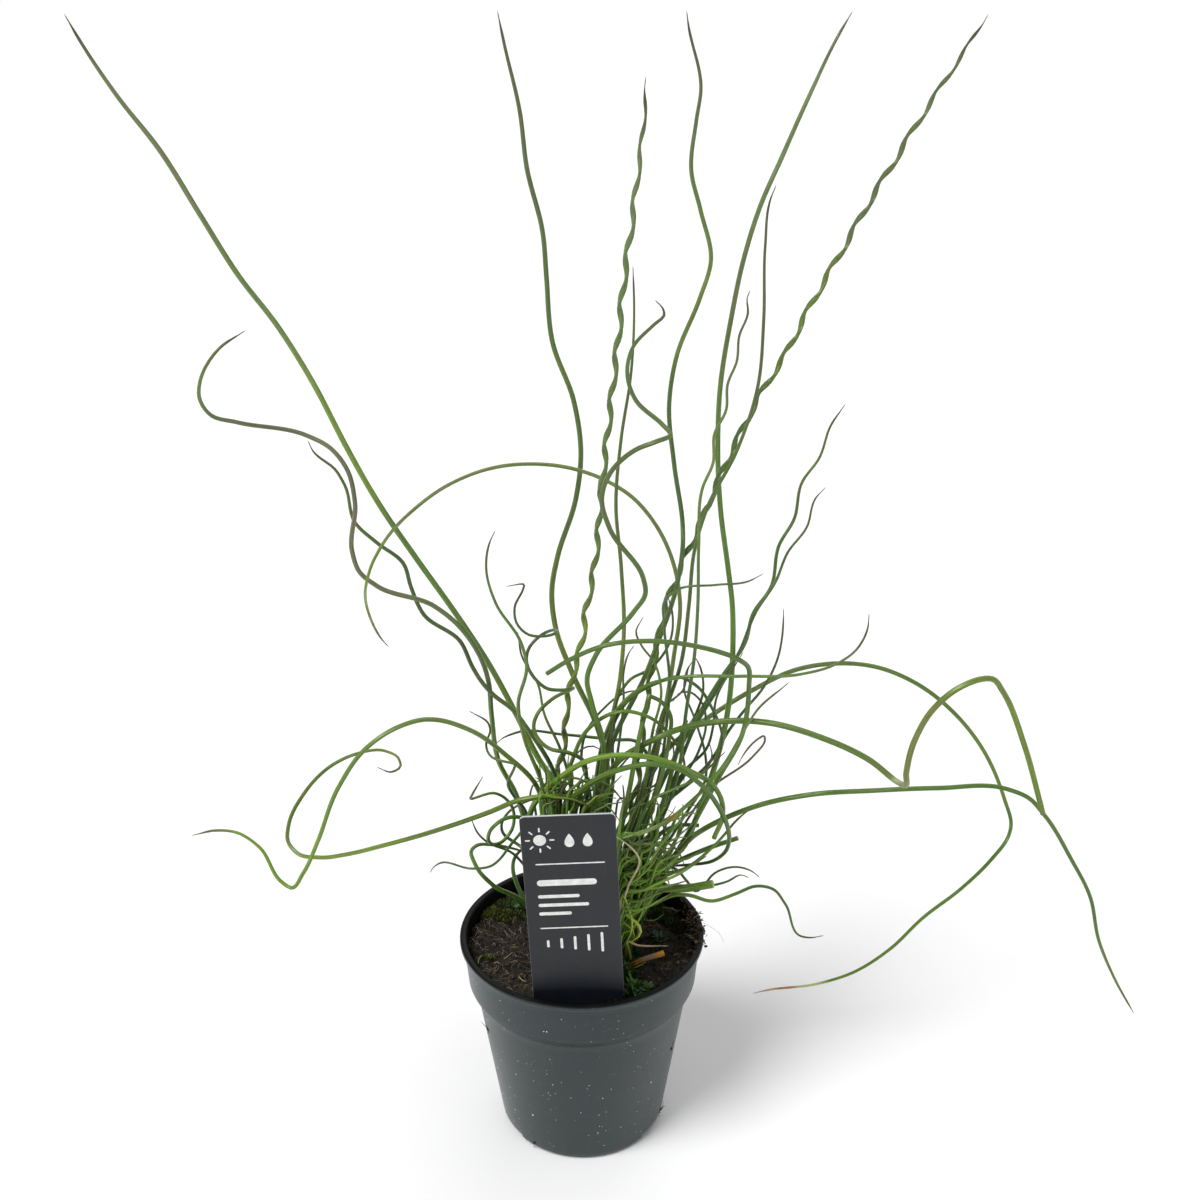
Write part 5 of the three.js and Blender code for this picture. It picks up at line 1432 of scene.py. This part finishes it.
# ---- label ---------------------------------------------------------------------------

# The CAD label's numbers.
LABEL_WIDTH = 31.5
LABEL_TOP = 75.3
LABEL_TIP = -22.0
TONGUE_WIDTH = 12.0
TONGUE_POINT = 6.0
SHOULDER_DROP = 3.0
LABEL_CORNER = 1.8
LABEL_THICKNESS = 0.8
LABEL_BEVEL = 0.16
LABEL_BAND = 81.7
LABEL_EDGE_LIGHT = 1.6
LABEL_PLACE = Vector((-0.6, -35.6, 77.0)) * MM
LABEL_TURN = Matrix.Rotation(-math.radians(2.6), 4, "Y") @ Matrix.Rotation(math.radians(2.4), 4, "X")
LABEL_MATRIX = Matrix.Translation(LABEL_PLACE) @ LABEL_TURN


def label_outline():
    """The card and its tongue, as x and z in the card's own plane."""
    half, tongue = LABEL_WIDTH / 2, TONGUE_WIDTH / 2
    line = [
        (-half, 0), (-tongue, -SHOULDER_DROP), (-tongue, LABEL_TIP + TONGUE_POINT), (0, LABEL_TIP),
        (tongue, LABEL_TIP + TONGUE_POINT), (tongue, -SHOULDER_DROP), (half, 0),
    ]
    for centre, start in ((half - LABEL_CORNER, 0), (-half + LABEL_CORNER, 90)):
        for k in range(9):
            angle = math.radians(start + k * 90 / 8)
            line.append((
                centre + LABEL_CORNER * math.cos(angle),
                LABEL_TOP - LABEL_CORNER + LABEL_CORNER * math.sin(angle),
            ))
    return line


def inset(line, distance):
    """The outline moved inwards, for the bevel of the card's edge."""
    moved = []
    count = len(line)
    for i in range(count):
        before, here, after = (Vector(line[(i + k) % count]) for k in (-1, 0, 1))
        a, b = (here - before).normalized(), (after - here).normalized()
        na, nb = Vector((a.y, -a.x)), Vector((b.y, -b.x))
        bisector = (na + nb).normalized()
        reach = distance / max(0.4, bisector.dot(na))
        moved.append(tuple(here + bisector * reach))
    return moved


def label_card(face, edge):
    line = label_outline()
    area = sum(a[0] * b[1] - a[1] * b[0] for a, b in zip(line, line[1:] + line[:1]))
    sign = -1 if area > 0 else 1
    small = inset(line, LABEL_BEVEL * sign)
    half = LABEL_THICKNESS / 2
    straight = half - LABEL_BEVEL
    layers = ((small, -half), (line, -straight), (line, straight), (small, half))
    corners = [Vector((x, y, z)) for outline, y in layers for x, z in outline]
    count = len(line)
    faces = [tuple(range(count)), tuple(range(4 * count - 1, 3 * count - 1, -1))]
    for row in range(3):
        for k in range(count):
            a, b = row * count + k, row * count + (k + 1) % count
            faces.append((b, a, a + count, b + count))
    placed = [LABEL_MATRIX @ (c * MM) for c in corners]
    made = piece("label_card", placed, faces, face, "label_card", False, ("plant_label",))
    made.data.materials.append(edge)
    # The first two faces are the card's front and back.
    for polygon in made.data.polygons[2:]:
        polygon.material_index = 1
    bm = bmesh.new()
    bm.from_mesh(made.data)
    bmesh.ops.recalc_face_normals(bm, faces=bm.faces)
    bm.to_mesh(made.data)
    bm.free()


def label_face_material():
    sh = Shader("label_face")
    cloud = sh.noise(30, detail=4)
    colour = sh.ramp(cloud, (0.3, linear("191c20")), (0.7, linear("1f2227")))
    # A deeper band with a gently bowed edge runs along the card's foot.
    parts = sh.axes(sh.place())
    bow = sh.math("MULTIPLY", sh.math("POWER", parts["X"], 2.0), 5.0)
    edge = sh.math("SUBTRACT", LABEL_BAND * MM, bow)
    below = sh.math("LESS_THAN", parts["Z"], edge)
    colour = sh.blend(below, colour, linear("10141c"))
    scratches = sh.noise(500, sh.stretched(sh.place(), (1, 1, 0.1)), detail=5)
    colour = sh.blend(sh.ramp(scratches, (0.66, 0), (0.8, 0.25)), colour, linear("5a5e64"))
    sh.set(Base_Color=colour, Roughness=sh.ramp(sh.noise(220), (0.3, 0.42), (0.7, 0.52)))
    sh.set(Normal=sh.bump(sh.noise(1900, detail=3), 0.08, 0.05 * MM), Specular_IOR_Level=0.4)
    return sh.material


def label_edge_material():
    sh = Shader("label_edge")
    colour = sh.ramp(sh.noise(700), (0.3, linear("3c3f43")), (0.7, linear("565a5d")))
    height = sh.axes(sh.place())["Z"]
    # Along the card's top, the edge is paler.
    paler_from = LABEL_PLACE.z / MM + LABEL_TOP - LABEL_EDGE_LIGHT
    top = sh.math("GREATER_THAN", height, paler_from * MM)
    sh.set(Base_Color=sh.blend(top, colour, linear("b4b8b8")), Roughness=0.55)
    return sh.material


# The print on the card's face, in its own plane.
PRINT_LIFT = 0.04
PRINT_LEFT = 11.5
SUN_X, SUN_Z = -9.5, 66
SUN_RADIUS = 2.1
DISC = np.arange(24) * math.pi / 12
RAY_RADIUS = 4.0
RAY_SIZE = (1.7, 0.55)
DROP_XS, DROP_Z, DROP_SIZE = (0.2, 6.2), 65.6, 2.1
RULES, RULE_SIZE = (56.5, 30.5), (23, 0.5)
# Bars that start at the left: (z, width, height).
BARS = ((49, 20, 2.4), (43.5, 14, 1.3), (40, 17, 1.3), (36.5, 11, 1.3))


def bar(x, z, width, height, tilt=0.0):
    """A rule with round ends, as an outline on the card's face; tilt is in degrees."""
    half, cap = max(width, height) / 2, min(width, height) / 2
    turn = math.radians(tilt + (0 if width >= height else 90))
    line = []
    for end in (1, -1):
        for k in range(9):
            angle = math.radians(-90 + 180 * k / 8)
            u = end * (half - cap + cap * math.cos(angle))
            v = end * cap * math.sin(angle)
            line.append((
                x + u * math.cos(turn) - v * math.sin(turn),
                z + u * math.sin(turn) + v * math.cos(turn),
            ))
    return line


def drop(x, z, size):
    """A water drop's outline, point up."""
    line = []
    for k in range(28):
        angle = 2 * math.pi * k / 28
        u = size * math.sin(angle) * math.sin(angle / 2)
        line.append((x + u, z + 1.25 * size * math.cos(angle)))
    return line


def label_print():
    """Plain care marks: a sun, two drops, rules and bars, in white on the card."""
    disc = [(SUN_X + SUN_RADIUS * math.cos(a), SUN_Z + SUN_RADIUS * math.sin(a)) for a in DISC]
    shapes = [disc]
    for k in range(8):
        angle = k * math.pi / 4
        place = (SUN_X + RAY_RADIUS * math.cos(angle), SUN_Z + RAY_RADIUS * math.sin(angle))
        shapes.append(bar(*place, *RAY_SIZE, math.degrees(angle)))
    shapes += [drop(x, DROP_Z, DROP_SIZE) for x in DROP_XS]
    shapes.append(bar(0, RULES[0], *RULE_SIZE))
    shapes += [bar(width / 2 - PRINT_LEFT, z, width, height) for z, width, height in BARS]
    shapes.append(bar(0, RULES[1], *RULE_SIZE))
    # Five upright bars, each higher than the one before.
    for k in range(5):
        shapes.append(bar(-9.2 + 4.6 * k, 24, 0.9, 3.0 + 1.3 * k))
    corners, faces = [], []
    for outline in shapes:
        start = len(corners)
        corners += [Vector((x, -LABEL_THICKNESS / 2 - PRINT_LIFT, z)) for x, z in outline]
        faces.append(tuple(range(start, len(corners))))
    sh = Shader("label_print")
    worn = sh.noise(420, detail=5)
    white = sh.ramp(worn, (0.3, linear("cfd0cd")), (0.7, linear("ecedea")))
    sh.set(Base_Color=white, Roughness=0.5, Normal=sh.bump(worn, 0.05, 0.05 * MM))
    placed = [LABEL_MATRIX @ (c * MM) for c in corners]
    piece("label_print", placed, faces, sh.material, "label_card", False)


# ---- assembly of the main pieces -----------------------------------------------------

rush_material = stem_material("rush", 0.32)
dry_material = stem_material("rush_dry", 0.75)
for node, slot in SLOTS.items():
    if node.startswith("stem_"):
        dull = slot in ("stem_dry", "stem_rusty")
        stem_skin(node, dry_material if dull else rush_material)

shoots(rush_material)

corners, faces = lathe(pot_profile(), POT_SIDES)
pot = piece("pot_shell", corners, faces, pot_material(), "pot_plastic", replaced=("pot",))
carve(pot, notch_boxes())

peat = soil_material()
frame["nodes"]["soil"].data.materials.clear()
frame["nodes"]["soil"].data.materials.append(peat)
soil_surface(peat)
dry_litter = painted_material("litter_dry", 0.85, 1800, 0.2)
green_litter = painted_material("litter_green", 0.5, 1400)
soil_fibres().made("soil_fibres", dry_litter, "peat")
soil_crumbs().made("soil_crumbs", dry_litter, "peat")
moss().made("soil_moss", green_litter, "stem_olive")
weeds().made("soil_weeds", green_litter, "stem_fresh")
sprouts().made("soil_sprouts", green_litter, "stem_fresh")
wall_dirt().made("pot_dirt", dry_litter, "peat")
wall_specks().made("pot_specks", dry_litter, "peat")

label_card(label_face_material(), label_edge_material())
label_print()


# ---- floor, light --------------------------------------------------------------------

# In metres. The floor lies a little under the pot, so that the two do not share a plane.
FLOOR_RADIUS = 60.0
FLOOR_DROP = 0.0002
FLOOR_TURNS = np.arange(64) * math.pi / 32


def floor_material():
    sh = Shader("floor")
    sh.set(Base_Color=sh.ramp(sh.noise(3, detail=2), (0.3, 0.88), (0.7, 0.9)), Roughness=0.8)
    sh.set(Specular_IOR_Level=0.1)
    return sh.material


floor_mesh = bpy.data.meshes.new("floor")
rim = [(FLOOR_RADIUS * math.cos(a), FLOOR_RADIUS * math.sin(a), 0) for a in FLOOR_TURNS]
floor_mesh.from_pydata(rim, [], [tuple(range(len(rim)))])
floor_mesh.materials.append(floor_material())
floor = bpy.data.objects.new("floor", floor_mesh)
floor.location.z = -FLOOR_DROP
scene.collection.objects.link(floor)


def sun_light(name, height, side, angle, power):
    """A distant light from so many degrees up and to the side, softer the wider its angle."""
    data = bpy.data.lights.new(name, "SUN")
    data.angle = math.radians(angle)
    data.energy = power
    made = bpy.data.objects.new(name, data)
    made.rotation_euler = (math.radians(90 - height), 0, math.radians(side))
    scene.collection.objects.link(made)


sun_light("key", 55, -48, 26, 2.5)
sun_light("fill", 50, 70, 70, 0.45)
sun_light("back", 45, 165, 50, 0.6)

# The sky is plain white at and below the horizon, like the floor, and dimmer above it.
SKY = 0.34
world = bpy.data.worlds.new("world")
world.use_nodes = True
tree = world.node_tree
direction = tree.nodes.new("ShaderNodeTexCoord")
split = tree.nodes.new("ShaderNodeSeparateXYZ")
tree.links.new(direction.outputs["Generated"], split.inputs[0])
band = tree.nodes.new("ShaderNodeMapRange")
for name, value in (("From Min", 0.02), ("From Max", 0.12), ("To Min", 1.0), ("To Max", SKY)):
    band.inputs[name].default_value = value
tree.links.new(split.outputs["Z"], band.inputs["Value"])
tree.links.new(band.outputs[0], tree.nodes["Background"].inputs["Strength"])
tree.nodes["Background"].inputs["Color"].default_value = (1, 1, 1, 1)
scene.world = world
scene.view_settings.view_transform = "Standard"
